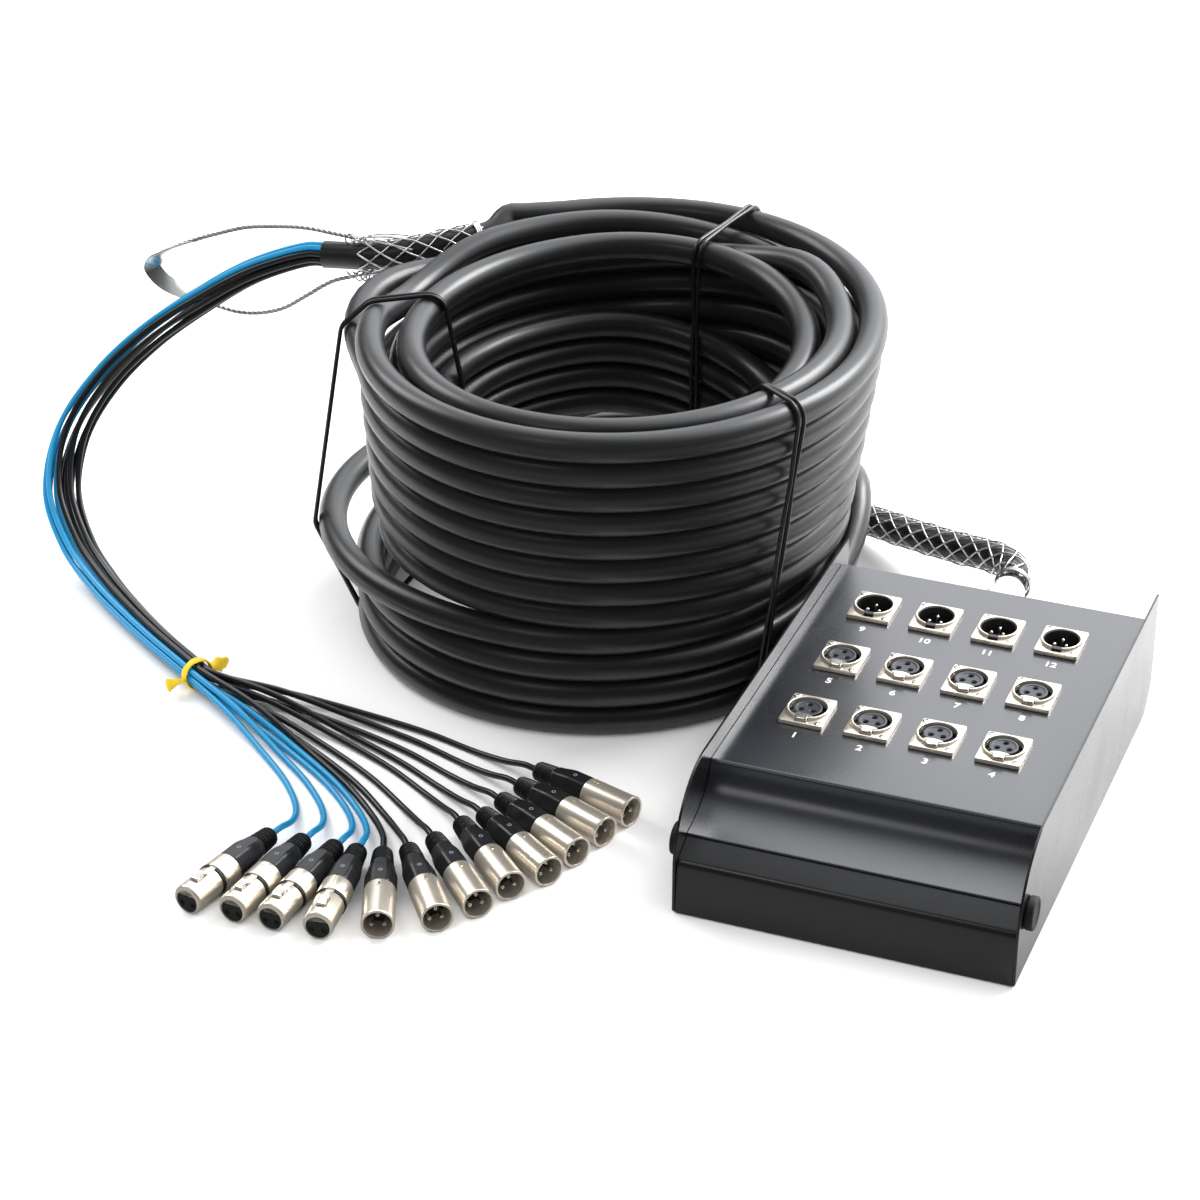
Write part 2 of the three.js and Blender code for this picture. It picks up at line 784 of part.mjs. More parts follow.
// The least clear distance between parts of a wound tube that lie more than half a turn apart.
function leastSelfGap(pointAt, turns, radius) {
  const perTurn = 96;
  const points = Array.from({ length: Math.floor(turns * perTurn) + 1 }, (_, i) => pointAt(i / perTurn));
  let least = Infinity;
  let where = [];
  for (let i = 0; i < points.length; i++) {
    for (let j = i + perTurn / 2; j < points.length; j++) {
      const away = points[i].distanceTo(points[j]);
      if (away < least) {
        least = away;
        where = [i / perTurn, j / perTurn];
      }
    }
  }
  return { gap: least - radius * 2, where };
}

// A line of straight steps from each point to the next.
class StepLine extends THREE.Curve {
  constructor(points) {
    super();
    this.points = points;
  }

  getUtoTmapping(u) {
    return u;
  }

  getPoint(t, target = new THREE.Vector3()) {
    const at = t * (this.points.length - 1);
    const i = Math.min(Math.floor(at), this.points.length - 2);
    return target.lerpVectors(this.points[i], this.points[i + 1], at - i);
  }
}

// Evenly spaced points on a smooth line through hand-chosen ones.
function smoothLine(points, steps) {
  return new THREE.CatmullRomCurve3(points, false, "centripetal").getSpacedPoints(steps);
}

// A regular polygon with a flat underneath.
function polygon(radius, sides) {
  return Array.from({ length: sides }, (_, i) => {
    const angle = ((i + 0.5) / sides) * Math.PI * 2;
    return new THREE.Vector2(radius * Math.cos(angle), radius * Math.sin(angle));
  });
}

// An outline drawn out along a line of points.
function sweep(line, shape) {
  return new THREE.ExtrudeGeometry(shape, {
    steps: line.length - 1,
    extrudePath: new StepLine(line),
    bevelEnabled: false,
  });
}

const cordTube = (line, radius, sides) => sweep(line, new THREE.Shape(polygon(radius, sides)));

function sleeve(line, bore, wall, sides) {
  const shape = new THREE.Shape(polygon(bore + wall, sides));
  shape.holes.push(new THREE.Path(polygon(bore, sides)));
  return sweep(line, shape);
}

const route = (points) => points.map(([x, y, z]) => vector(x, y, z));

const coilEnds = coilLine();

// A point beyond the end of a line, on from the one before it.
function beyond(before, end, distance) {
  return end.clone().addScaledVector(end.clone().sub(before).normalize(), distance);
}

// Points that hold a line straight between two places.
function straight(from, to) {
  return [0, 1 / 2, 1].map((share) => from.clone().lerp(to, share));
}

// The lead from the gland's mouth to the coil.
function boxLeadLine() {
  const start = vector(0, glandEnd + seatGap, gland.z);
  const end = beyond(coilEnds[1], coilEnds[0], seatGap);
  const led = beyond(coilEnds[1], coilEnds[0], seatGap + cableRadius * 2);
  const way = led.clone().sub(start);
  const [first, ...rest] = route(boxLeadShares).map((share) => share.multiply(way).add(start));
  return smoothLine([...straight(start, first), ...rest, ...straight(led, end)], boxLeadSteps);
}

// The lead from the coil to the cut end of the jacket.
function farLeadLine() {
  const [before, last] = coilEnds.slice(-2);
  const start = beyond(before, last, seatGap);
  const led = beyond(before, last, seatGap + cableRadius * 2);
  const points = route(farLeadRoute);
  const [knee, end] = points.slice(-2);
  return smoothLine([...straight(start, led), ...points.slice(0, -2), ...straight(knee, end)], farLeadSteps);
}

// Where each tail lies in the bundle, sorted from the left of the way it runs.
const tailPlaces = [
  ...Array.from({ length: outerTails }, (_, i) => ({ radius: tailRings.outer, turn: i / outerTails })),
  ...Array.from({ length: innerTails }, (_, i) => ({
    radius: tailRings.inner,
    turn: (i + tailRings.twistShare) / innerTails,
  })),
]
  .map(({ radius, turn }) => ({
    side: radius * Math.cos(turn * Math.PI * 2),
    rise: radius * Math.sin(turn * Math.PI * 2),
  }))
  .sort((a, b) => (Math.abs(a.side - b.side) > mergeReach ? a.side - b.side : a.rise - b.rise));

// The tie stands on the floor, so it sets the height of the bundle's axis there.
const tieBore = tailRings.outer + tailRadius + tie.room;
const tieCentre = vector(tie.x, tie.y, tieBore + tie.wall + floorGap);

// The middle line of the bundle from the jacket's end through the tie.
function bundleLine(jacketEnd, jacketWay) {
  const start = jacketEnd.clone().addScaledVector(jacketWay, seatGap);
  const points = route(bundleRoute);
  const way = tieCentre.clone().sub(points[points.length - 1]).setZ(0).normalize();
  const before = tieCentre.clone().addScaledVector(way, -tie.width);
  const after = tieCentre.clone().addScaledVector(way, tie.width);
  const led = start.clone().addScaledVector(jacketWay, cableRadius);
  return [start, ...smoothLine([led, ...points, before], bundleSteps - 1), tieCentre, after];
}

// A tail's points beside the bundle's middle line, which swells between its ends.
function besideBundle(middle, place) {
  return middle.map((point, i) => {
    const before = middle[Math.max(i - 1, 0)];
    const after = middle[Math.min(i + 1, middle.length - 1)];
    const way = after.clone().sub(before).normalize();
    const right = new THREE.Vector3().crossVectors(way, up).normalize();
    const above = new THREE.Vector3().crossVectors(right, way);
    const swell = Math.sin(Math.PI * clamp(i / bundleSteps, 0, 1)) ** 2;
    const twist = bundleTwist.turn * (1 - smoothstep(i / bundleSteps, 0, bundleTwist.stretchShare));
    const side = place.side * Math.cos(twist) - place.rise * Math.sin(twist);
    const rise = place.side * Math.sin(twist) + place.rise * Math.cos(twist);
    return point
      .clone()
      .addScaledVector(right, side * (1 + bundleSwell.side * swell))
      .addScaledVector(above, rise * (1 + bundleSwell.up * swell));
  });
}

// A tail's points from the tie to the cable entry of its plug, along the floor.
function fanOut(from, plugPlace) {
  const turn = THREE.MathUtils.degToRad(plugPlace.turn);
  const into = vector(Math.cos(turn), Math.sin(turn), 0);
  const entry = vector(plugPlace.x, plugPlace.y, plugAxis).addScaledVector(into, -seatGap);
  const end = entry.clone().addScaledVector(into, -fanStraight).setZ(from.z);
  const chord = end.clone().sub(from);
  const reach = chord.length() * fanReachShare;
  const out = chord.clone().applyAxisAngle(up, fanArch).setLength(reach);
  const curve = new THREE.CubicBezierCurve3(
    from,
    from.clone().add(out),
    end.clone().addScaledVector(into, -fanEntry),
    end,
  );
  const floor = tailRadius + floorGap;
  const laid = fanShares.map((share) => {
    const fallen = lerp(from.z, floor, smoothstep(share, 0, fanFallShare));
    return curve.getPoint(share).setZ(lerp(fallen, plugAxis, smoothstep(share, fanRiseShare, 1)));
  });
  return [...laid, entry];
}

// The twist tie: a band round the bundle with its twisted ends pressed flat to each side.
function twistTie() {
  const band = bar(tieBore + tie.wall, -tie.width / 2, tie.width / 2, bandSides);
  const bore = bar(tieBore, -tie.width, tie.width, bandSides);
  const half = tie.width / 2;
  const near = tieBore + tie.wall / 2;
  const far = near + tie.lobe;
  const thick = tie.lobeThickness;
  const upper = block(near, far, thick, thick * 2, -half, half);
  const lower = block(-far, -near, -thick * 2, -thick, -half, half);
  return joined(band.subtract(bore), upper, lower);
}

const group = new THREE.Group();

function addBox() {
  addMesh(group, "base_tray", baseTray(), blackSteel);
  addMesh(group, "top_cover", topCover(), panelSteel);
  addMesh(group, "cable_gland", cableGland(), paleNylon);
  const right = addMesh(group, "bumper_right", sideBumper(), blackRubber);
  right.position.set(0, boxFront + bumper.setBack, bumper.z);
  const left = addMesh(group, "bumper_left", sideBumper(), blackRubber);
  left.position.copy(right.position);
  left.rotation.z = Math.PI;
}

function addPanelSockets() {
  const female = femalePanelSocket();
  const male = malePanelSocket();
  const tab = panelPushTab();
  socketCentres.forEach((centre, i) => {
    const holder = new THREE.Group();
    holder.position.set(centre.x, centre.y, panelHeight);
    group.add(holder);
    const isMale = i >= socketColumns * 2;
    addMesh(holder, `panel_socket_${i + 1}`, isMale ? male : female, nickel);
    if (!isMale) addMesh(holder, `panel_latch_${i + 1}`, tab, chrome);
  });
}

function addPlugs() {
  const female = femalePlugSolid();
  const latch = plugLatchSolid();
  const male = malePlugSolid();
  femalePlaces.forEach((place, i) => {
    const holder = layDown(group, place);
    addMesh(holder, `plug_female_${i + 1}`, female, nickel);
    addMesh(holder, `plug_latch_${i + 1}`, latch, chrome);
  });
  malePlaces.forEach((place, i) => addMesh(layDown(group, place), `plug_male_${i + 1}`, male, nickel));
}

function addCable() {
  addMesh(group, "cable_coil", ringTube(coilEnds, cableRadius, cableSides), cableJacket);
  const boxLead = boxLeadLine();
  const farLead = farLeadLine();
  addMesh(group, "box_lead", cordTube(boxLead, cableRadius, leadSides), cableJacket);
  addMesh(group, "far_lead", cordTube(farLead, cableRadius, leadSides), cableJacket);
  const bore = (cableRadius + gripRoom) / Math.cos(Math.PI / gripSides);
  const boxGrip = sleeve(boxLead.slice(...boxGripRings), bore, gripWall, gripSides);
  const farGrip = sleeve(farLead.slice(...farGripRings), bore, gripWall, gripSides);
  addMesh(group, "box_wire_grip", boxGrip, wireSteel);
  addMesh(group, "far_wire_grip", farGrip, wireSteel);
  return farLead;
}

function addTails(farLead) {
  const [before, end] = farLead.slice(-2);
  const middle = bundleLine(end, end.clone().sub(before).normalize());
  const ends = [...malePlaces].reverse().concat([...femalePlaces].reverse());
  tailPlaces.forEach((place, i) => {
    const bundled = besideBundle(middle, place);
    const line = [...bundled, ...fanOut(bundled[bundled.length - 1], ends[i])];
    const isMale = i < malePlaces.length;
    const name = isMale ? `tail_male_${malePlaces.length - i}` : `tail_female_${tailPlaces.length - i}`;
    addMesh(group, name, cordTube(line, tailRadius, tailSides), isMale ? blackJacket : blueJacket);
  });
  const way = middle[middle.length - 1].clone().sub(tieCentre);
  const holder = new THREE.Group();
  holder.position.copy(tieCentre);
  holder.rotation.z = Math.atan2(way.y, way.x) + Math.PI / 2;
  group.add(holder);
  addMesh(holder, "twist_tie", twistTie(), yellowPlastic).rotation.x = Math.PI / 2;
}

function addPullingEye() {
  const line = smoothLine(route(eyeRoute), eyeSteps);
  const half = thimble.width / 2;
  const strip = new THREE.Shape(
    [
      [-half, -thimble.thickness / 2],
      [half, -thimble.thickness / 2],
      [half, thimble.thickness / 2],
      [-half, thimble.thickness / 2],
    ].map(([x, y]) => new THREE.Vector2(x, y)),
  );
  const rope = solidOf(cordTube(line, ropeRadius, ropeSides));
  const band = solidOf(sweep(line.slice(thimble.first, thimble.last), strip));
  addMesh(group, "pulling_eye", rope.add(band), wireSteel);
}

addBox();
addPanelSockets();
addPlugs();
addTails(addCable());
addPullingEye();

const { gap, where } = leastSelfGap(coilPoint, coilTurns, cableRadius);
console.log(`cable_coil: least gap to itself ${gap.toFixed(2)} mm, between turns ${where.join(" and ")}`);

export default group;
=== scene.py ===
"""A stage box snake: a folded steel box with twelve panel sockets, and a coiled multicore cable.

The cable leaves the box through a gland, lies in a three-layer coil and ends in twelve tails with
plugs. Shapes are worked out in millimetres as numpy surfaces and put into metres as they become
meshes. The box stands with its sloped front towards -Y, and the coil lies on its left.
"""

import logging
import math
from dataclasses import dataclass
from enum import Enum

import bpy
import numpy as np
from mathutils import Euler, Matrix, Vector


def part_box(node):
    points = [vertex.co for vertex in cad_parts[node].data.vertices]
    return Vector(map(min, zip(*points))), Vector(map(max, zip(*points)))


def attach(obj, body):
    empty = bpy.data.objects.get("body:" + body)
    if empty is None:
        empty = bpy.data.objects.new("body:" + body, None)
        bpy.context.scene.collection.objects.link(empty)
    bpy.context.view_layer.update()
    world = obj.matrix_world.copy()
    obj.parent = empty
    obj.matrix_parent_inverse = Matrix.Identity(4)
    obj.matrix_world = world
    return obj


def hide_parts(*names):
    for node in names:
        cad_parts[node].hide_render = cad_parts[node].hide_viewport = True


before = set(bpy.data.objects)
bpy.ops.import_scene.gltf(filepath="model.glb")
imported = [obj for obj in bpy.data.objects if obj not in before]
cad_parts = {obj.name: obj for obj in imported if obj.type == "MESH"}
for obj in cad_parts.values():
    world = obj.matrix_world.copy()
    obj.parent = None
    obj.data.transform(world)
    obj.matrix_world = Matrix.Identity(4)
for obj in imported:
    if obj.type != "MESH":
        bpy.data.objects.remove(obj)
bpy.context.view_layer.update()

log = logging.getLogger("stage_box_snake")

Array = np.ndarray
MM = 0.001
TURN = 2 * math.pi
UP = np.array([0.0, 0.0, 1.0])
UPRIGHT = np.array([[1.0, 0.0, 0.0], [0.0, 0.0, 1.0], [0.0, 1.0, 0.0]])
ROOT = "snake"
SOCKETS = 12
FEMALE_SOCKETS = 8


class Slot(Enum):
    """The material slots of the record."""

    BLACK_STEEL = "black_steel"
    PANEL_STEEL = "panel_steel"
    RUBBER = "black_rubber"
    NICKEL = "nickel"
    CHROME = "chrome"
    JACKET = "cable_jacket"
    TAIL_BLACK = "tail_black"
    TAIL_BLUE = "tail_blue"
    WIRE = "wire_steel"
    NYLON = "pale_nylon"
    TIE = "tie_yellow"


class Gender(Enum):
    """The two kinds of contact that a socket or plug can have."""

    MALE = "male"
    FEMALE = "female"


# Finishes


def add_node(
    tree: bpy.types.NodeTree, kind: str, inputs: dict[str | int, object], **settings: str | bool,
) -> bpy.types.Node:
    """Adds a shader node to a tree.

    Args:
        tree: The tree.
        kind: The node's type, without the word ShaderNode.
        inputs: Values, or the sockets that feed them, by input.
        settings: The node's own properties.

    Returns:
        The node.
    """
    node = tree.nodes.new(f"ShaderNode{kind}")
    for name, value in settings.items():
        setattr(node, name, value)
    feed(tree, node, inputs)
    return node


def feed(tree: bpy.types.NodeTree, node: bpy.types.Node, inputs: dict[str | int, object]) -> None:
    """Sets a node's inputs, and links the ones that are given as sockets."""
    for name, value in inputs.items():
        if isinstance(value, bpy.types.NodeSocket):
            tree.links.new(value, node.inputs[name])
        else:
            node.inputs[name].default_value = value


@dataclass(frozen=True)
class Finish:
    """A surface: its colour and gloss, with a fine grain and a broad unevenness.

    grain and cloud are sizes of the pattern in repeats per metre, spread and mottle say how far
    roughness and colour stray, and bump is the grain's height in millimetres. slot is the
    record's slot that the finish belongs to.
    """

    name: str
    slot: Slot
    colour: tuple[float, float, float]
    metallic: float = 0.0
    roughness: float = 0.5
    spread: float = 0.06
    mottle: float = 0.1
    grain: float = 2500.0
    cloud: float = 22.0
    bump: float = 0.02
    coat: float = 0.0
    specular: float = 0.5
    subsurface: float = 0.0
    stretch: tuple[float, float, float] = (1.0, 1.0, 1.0)
    on_map: bool = False

    def material(self) -> bpy.types.Material:
        """Gives the finish's material and makes it the first time.

        Two noises lie on the piece's place in space, or along its own map. The broad one makes
        the colour and roughness stray, and the fine one the roughness and the height.

        Returns:
            The material, shared by all pieces with this finish.
        """
        if self.name in bpy.data.materials:
            return bpy.data.materials[self.name]
        material = bpy.data.materials.new(self.name)
        material.use_nodes = True
        tree = material.node_tree
        source = add_node(tree, "TexCoord", {}).outputs["UV" if self.on_map else "Object"]
        place = add_node(tree, "Mapping", {"Scale": self.stretch, "Vector": source}).outputs["Vector"]
        fine, broad = (
            add_node(tree, "TexNoise", {"Scale": scale, "Detail": detail, "Vector": place}).outputs["Fac"]
            for scale, detail in ((self.grain, 3.0), (self.cloud, 4.0))
        )

        def ranged(noise: bpy.types.NodeSocket, low: float, high: float) -> bpy.types.NodeSocket:
            """Spreads a noise's middle range between two values."""
            inputs = {"Value": noise, "From Min": 0.3, "From Max": 0.7, "To Min": low, "To Max": high}
            return add_node(tree, "MapRange", inputs).outputs["Result"]

        darker = [c * (1 - self.mottle) for c in self.colour]
        lighter = [min(c * (1 + self.mottle), 1.0) for c in self.colour]
        ends = {"A": (*darker, 1), "B": (*lighter, 1), "Factor": ranged(broad, 0, 1)}
        colour = add_node(tree, "Mix", ends, data_type="RGBA")
        rough = add_node(tree, "Math", {
            0: ranged(broad, self.roughness - self.spread, self.roughness + self.spread),
            1: ranged(fine, -self.spread / 3, self.spread / 3),
        }, operation="ADD", use_clamp=True)
        bump = add_node(tree, "Bump", {"Strength": 1.0, "Distance": self.bump * MM, "Height": fine})
        feed(tree, tree.nodes["Principled BSDF"], {
            "Metallic": self.metallic, "Coat Weight": self.coat, "Coat Roughness": 0.2,
            "Specular IOR Level": self.specular, "Subsurface Weight": self.subsurface,
            "Subsurface Scale": 2 * MM, "Base Color": colour.outputs["Result"],
            "Roughness": rough.outputs["Value"], "Normal": bump.outputs["Normal"],
        })
        return material


class Finishes:
    """The finishes of the stage box snake."""

    box_paint = Finish(
        "box paint", Slot.BLACK_STEEL, (0.0055, 0.0057, 0.006), 0.0, 0.27, 0.03, 0.05, bump=0.012,
        grain=1800, coat=0.35,
    )
    panel_paint = Finish(
        "panel paint", Slot.PANEL_STEEL, (0.011, 0.0122, 0.0165), 0.0, 0.28, 0.03, 0.05, bump=0.01,
        grain=1800, coat=0.35, specular=0.95,
    )
    bumper_rubber = Finish(
        "bumper rubber", Slot.RUBBER, (0.006, 0.006, 0.0065), 0.0, 0.66, bump=0.05, grain=1500,
    )
    boot_plastic = Finish(
        "boot plastic", Slot.RUBBER, (0.007, 0.0073, 0.008), 0.0, 0.38, bump=0.03, grain=3000,
    )
    insert_plastic = Finish("insert plastic", Slot.RUBBER, (0.03, 0.034, 0.042), 0.0, 0.4, bump=0.01)
    plug_insert = Finish("plug insert", Slot.RUBBER, (0.006, 0.0075, 0.0075), 0.0, 0.45, bump=0.01)
    plug_cavity = Finish("plug cavity", Slot.RUBBER, (0.02, 0.012, 0.007), 0.0, 0.4, bump=0.01)
    cavity_plastic = Finish("cavity plastic", Slot.RUBBER, (0.003, 0.003, 0.003), 0.0, 0.5, bump=0.01)
    seal_rubber = Finish("seal rubber", Slot.RUBBER, (0.004, 0.004, 0.004), 0.0, 0.55, bump=0.01)
    nickel = Finish(
        "satin nickel", Slot.NICKEL, (0.83, 0.76, 0.65), 0.82, 0.3, spread=0.03, mottle=0.04, bump=0.006
    )
    chrome = Finish(
        "bright plate", Slot.CHROME, (0.9, 0.86, 0.79), 0.95, 0.16, spread=0.04, mottle=0.03, bump=0.002
    )
    contact = Finish("contact plate", Slot.CHROME, (0.92, 0.9, 0.85), 1.0, 0.16, mottle=0.03, bump=0.002)
    screw_steel = Finish("screw steel", Slot.NICKEL, (0.7, 0.68, 0.64), 1.0, 0.25, bump=0.004)
    jacket = Finish(
        "cable jacket", Slot.JACKET, (0.0085, 0.0087, 0.009), 0.0, 0.36, spread=0.08, mottle=0.2, grain=90,
        cloud=2.2, bump=0.03, coat=0.12, stretch=(6.0, 2.0, 1.0), on_map=True,
    )
    tail_black = Finish(
        "black tail jacket", Slot.TAIL_BLACK, (0.006, 0.006, 0.007), 0.0, 0.34, grain=120, cloud=6, bump=0.02,
        stretch=(3.0, 2.0, 1.0), on_map=True,
    )
    tail_blue = Finish(
        "blue tail jacket", Slot.TAIL_BLUE, (0.002, 0.25, 0.5), 0.0, 0.34, grain=120, cloud=6, bump=0.02,
        stretch=(3.0, 2.0, 1.0), on_map=True,
    )
    tie_jacket = Finish("tie wire jacket", Slot.RUBBER, (0.006, 0.006, 0.007), 0.0, 0.3, bump=0.01)
    mesh_wire = Finish("mesh wire", Slot.WIRE, (0.72, 0.72, 0.71), 1.0, 0.28, spread=0.1, bump=0.01)
    rope_wire = Finish("rope wire", Slot.WIRE, (0.5, 0.5, 0.5), 1.0, 0.34, spread=0.1, bump=0.01)
    thimble_steel = Finish(
        "thimble steel", Slot.WIRE, (0.74, 0.74, 0.72), 1.0, 0.34, spread=0.08, bump=0.02, grain=900,
    )
    gland_nylon = Finish("gland nylon", Slot.NYLON, (0.82, 0.83, 0.82), 0.0, 0.35, bump=0.02, subsurface=0.25)
    tie_yellow = Finish("yellow tie", Slot.TIE, (0.88, 0.6, 0.012), 0.0, 0.4, bump=0.06, grain=1200)
    mark_paint = Finish("mark paint", Slot.NYLON, (0.9, 0.9, 0.88), 0.0, 0.5, bump=0.005)
    ring_paint = Finish("ring paint", Slot.NYLON, (0.2, 0.25, 0.3), 0.0, 0.5, bump=0.005)


# Surfaces


@dataclass(frozen=True)
class Patch:
    """Points in millimetres and the faces between them.

    faces holds arrays of corner numbers, one for each count of corners, and uvs one array for
    each of them with the corners' places on the piece's own map.
    """

    points: Array
    faces: tuple[Array, ...]
    uvs: tuple[Array, ...]

    def moved(self, turn: Array, shift: Array) -> "Patch":
        """Gives the patch turned and then shifted.

        Args:
            turn: Three rows, where the patch's own X, Y and Z point.
            shift: Where its own origin goes.

        Returns:
            The moved patch.
        """
        return Patch(self.points @ turn + shift, self.faces, self.uvs)

    def at(self, x: float, y: float, z: float) -> "Patch":
        """Gives the patch shifted."""
        return self.moved(np.eye(3), np.array([x, y, z]))

    def volume(self) -> float:
        """Gives the volume: a sixth of the triple products of all triangles."""
        total = 0.0
        for face in self.faces:
            first = self.points[face[:, 0]]
            for i in range(1, face.shape[1] - 1):
                second, third = self.points[face[:, i]], self.points[face[:, i + 1]]
                total += float(np.einsum("ij,ij->", first, np.cross(second, third)))
        return total / 6

    def outward(self) -> "Patch":
        """Gives a closed patch with its faces pointing out."""
        if self.volume() >= 0:
            return self
        faces = tuple(face[:, ::-1] for face in self.faces)
        return Patch(self.points, faces, tuple(uv[:, ::-1] for uv in self.uvs))


def joined(*patches: Patch) -> Patch:
    """Puts patches side by side in one.

    Args:
        patches: The patches.

    Returns:
        One patch with all their faces.
    """
    starts = np.cumsum([0] + [len(patch.points) for patch in patches])
    faces = tuple(face + start for patch, start in zip(patches, starts) for face in patch.faces)
    uvs = tuple(uv for patch in patches for uv in patch.uvs)
    return Patch(np.vstack([patch.points for patch in patches]), faces, uvs)


def surface(
    grid: Array, wrap_rows: bool = False, caps: bool = False, rows_at: Array | None = None,
) -> Patch:
    """Makes the faces of a grid of points, whose last column joins the first.

    Args:
        grid: Points as rows, columns and three coordinates.
        wrap_rows: Whether the last row joins the first.
        caps: Whether the first and last rows are closed by fans to their middles.
        rows_at: How far along the piece each row lies, in metres, for its map.

    Returns:
        The patch, with its faces pointing out where it is closed.
    """
    rows, columns = grid.shape[:2]
    rows_at = np.linspace(0, 1, rows) if rows_at is None else rows_at
    row = np.arange(rows if wrap_rows else rows - 1)
    i, j = (part.ravel() for part in np.meshgrid(row, np.arange(columns), indexing="ij"))
    below, above = i, (i + 1) % rows
    left, right = j, (j + 1) % columns
    quads = np.stack(
        [below * columns + left, below * columns + right, above * columns + right, above * columns + left], -1
    )
    u = np.stack([j, j + 1, j + 1, j], -1) / columns
    v = np.stack([rows_at[below], rows_at[below], rows_at[above], rows_at[above]], -1)
    points, faces, uvs = grid.reshape(-1, 3), [quads], [np.stack([u, v], -1)]
    if caps:
        number = np.arange(columns)
        after = np.roll(number, -1)
        last = (rows - 1) * columns
        middles = np.stack([grid[0].mean(0), grid[-1].mean(0)])
        first_fan = np.stack([np.full(columns, len(points)), after, number], -1)
        last_fan = np.stack([np.full(columns, len(points) + 1), last + number, last + after], -1)
        points = np.vstack([points, middles])
        faces += [first_fan, last_fan]
        ends = np.zeros((columns, 3, 2))
        uvs += [ends + [0, rows_at[0]], ends + [0, rows_at[-1]]]
    patch = Patch(points, tuple(faces), tuple(uvs))
    return patch.outward() if caps or wrap_rows else patch


def unit(vectors: Array) -> Array:
    """Gives vectors of the same way and length one."""
    return vectors / np.linalg.norm(vectors, axis=-1, keepdims=True)


def eased(value: Array | float, low: float, high: float) -> Array:
    """Gives 0 below low, 1 above high, and 3 s² - 2 s³ of the share s between them."""
    share = np.clip((np.asarray(value, float) - low) / (high - low), 0, 1)
    return share * share * (3 - 2 * share)


def blended(start: Array | float, end: Array | float, share: Array | float) -> Array:
    """Gives the straight mix of two values."""
    return start + (end - start) * np.asarray(share)


def lengths_along(line: Array) -> Array:
    """Gives how far along a line each of its points lies."""
    return np.concatenate([[0], np.cumsum(np.linalg.norm(np.diff(line, axis=0), axis=1))])


def evenly(line: Array, count: int) -> Array:
    """Gives evenly spaced points on a line of straight steps.

    Args:
        line: The line's points.
        count: How many points to give.

    Returns:
        The points, with the line's own first and last.
    """
    along = lengths_along(line)
    places = np.linspace(0, along[-1], count)
    return np.stack([np.interp(places, along, line[:, axis]) for axis in range(3)], -1)


def smooth_line(points: Array, count: int) -> Array:
    """Gives evenly spaced points on a centripetal Catmull-Rom line.

    Between two points it is the cubic whose end slopes come from the neighbours, each weighed by
    the square root of its distance.

    Args:
        points: The points that the line goes through.
        count: How many points to give.

    Returns:
        The points on the line.
    """
    whole = np.vstack([2 * points[0] - points[1], points, 2 * points[-1] - points[-2]])
    gaps = np.sqrt(np.linalg.norm(np.diff(whole, axis=0), axis=1))[:, None]
    before, here, there, after = whole[:-3], whole[1:-2], whole[2:-1], whole[3:]
    near, span, far = gaps[:-2], gaps[1:-1], gaps[2:]
    leaving = ((here - before) / near - (there - before) / (near + span) + (there - here) / span) * span
    arriving = ((there - here) / span - (after - here) / (span + far) + (after - there) / far) * span
    share = np.linspace(0, 1, 24, endpoint=False)[None, :, None]
    square = (3 * (there - here) - 2 * leaving - arriving)[:, None]
    cube = (2 * (here - there) + leaving + arriving)[:, None]
    dense = here[:, None] + leaving[:, None] * share + square * share**2 + cube * share**3
    return evenly(np.vstack([dense.reshape(-1, 3), points[-1]]), count)


def axes_along(line: Array, hint: Array = UP) -> tuple[Array, Array, Array]:
    """Gives the ways along, to the side of and above a line.

    Args:
        line: The line's points.
        hint: The way, or one for each point, that "above" leans to.

    Returns:
        Three arrays of unit vectors: along, side and above.
    """
    way = unit(np.gradient(line, axis=0))
    side = unit(np.cross(np.broadcast_to(hint, line.shape), way))
    return way, side, np.cross(way, side)


def tube(line: Array, radius: Array | float, sides: int, hint: Array = UP) -> Patch:
    """Makes a closed tube: rings of radius times (cos a to the side + sin a above), a from 0 to a turn.

    Args:
        line: The tube's middle line.
        radius: Its radius, or one for each point.
        sides: How many sides a ring has.
        hint: The way, or one for each point, that "above" leans to.

    Returns:
        The tube, with its map running along it in metres.
    """
    _, side, above = axes_along(line, hint)
    angle = circle(sides)[None, :, None]
    ring = np.cos(angle) * side[:, None] + np.sin(angle) * above[:, None]
    size = np.broadcast_to(radius, len(line))[:, None, None]
    return surface(line[:, None] + size * ring, caps=True, rows_at=lengths_along(line) * MM)


def circle(sides: int) -> Array:
    """Gives evenly spaced angles round a circle."""
    return np.linspace(0, TURN, sides, endpoint=False)


def around(turn: Array, side: Array, above: Array) -> Array:
    """Gives cos a to the side + sin a above for each angle a."""
    return np.cos(turn)[:, None] * side + np.sin(turn)[:, None] * above


def spun(radius: Array, height: Array | float, angle: Array) -> Array:
    """Gives the points (r cos a, r sin a, z)."""
    return np.stack([radius * np.cos(angle), radius * np.sin(angle), height + 0 * (radius + angle)], -1)


def oblong(low: tuple[float, float], high: tuple[float, float]) -> list[tuple[float, float]]:
    """Gives the four corners of a flat oblong."""
    return [low, (high[0], low[1]), high, (low[0], high[1])]


def turned(profile: Array, sides: int = 48) -> Patch:
    """Makes a piece turned about Z: each profile point (r, z) becomes (r cos a, r sin a, z).

    Args:
        profile: Pairs of radius and height from one end of the axis to the other.
        sides: How many sides a ring has.

    Returns:
        The closed piece.
    """
    profile = np.asarray(profile, float)
    return surface(spun(np.maximum(profile[:, :1], 0.02), profile[:, 1:], circle(sides)), caps=True)


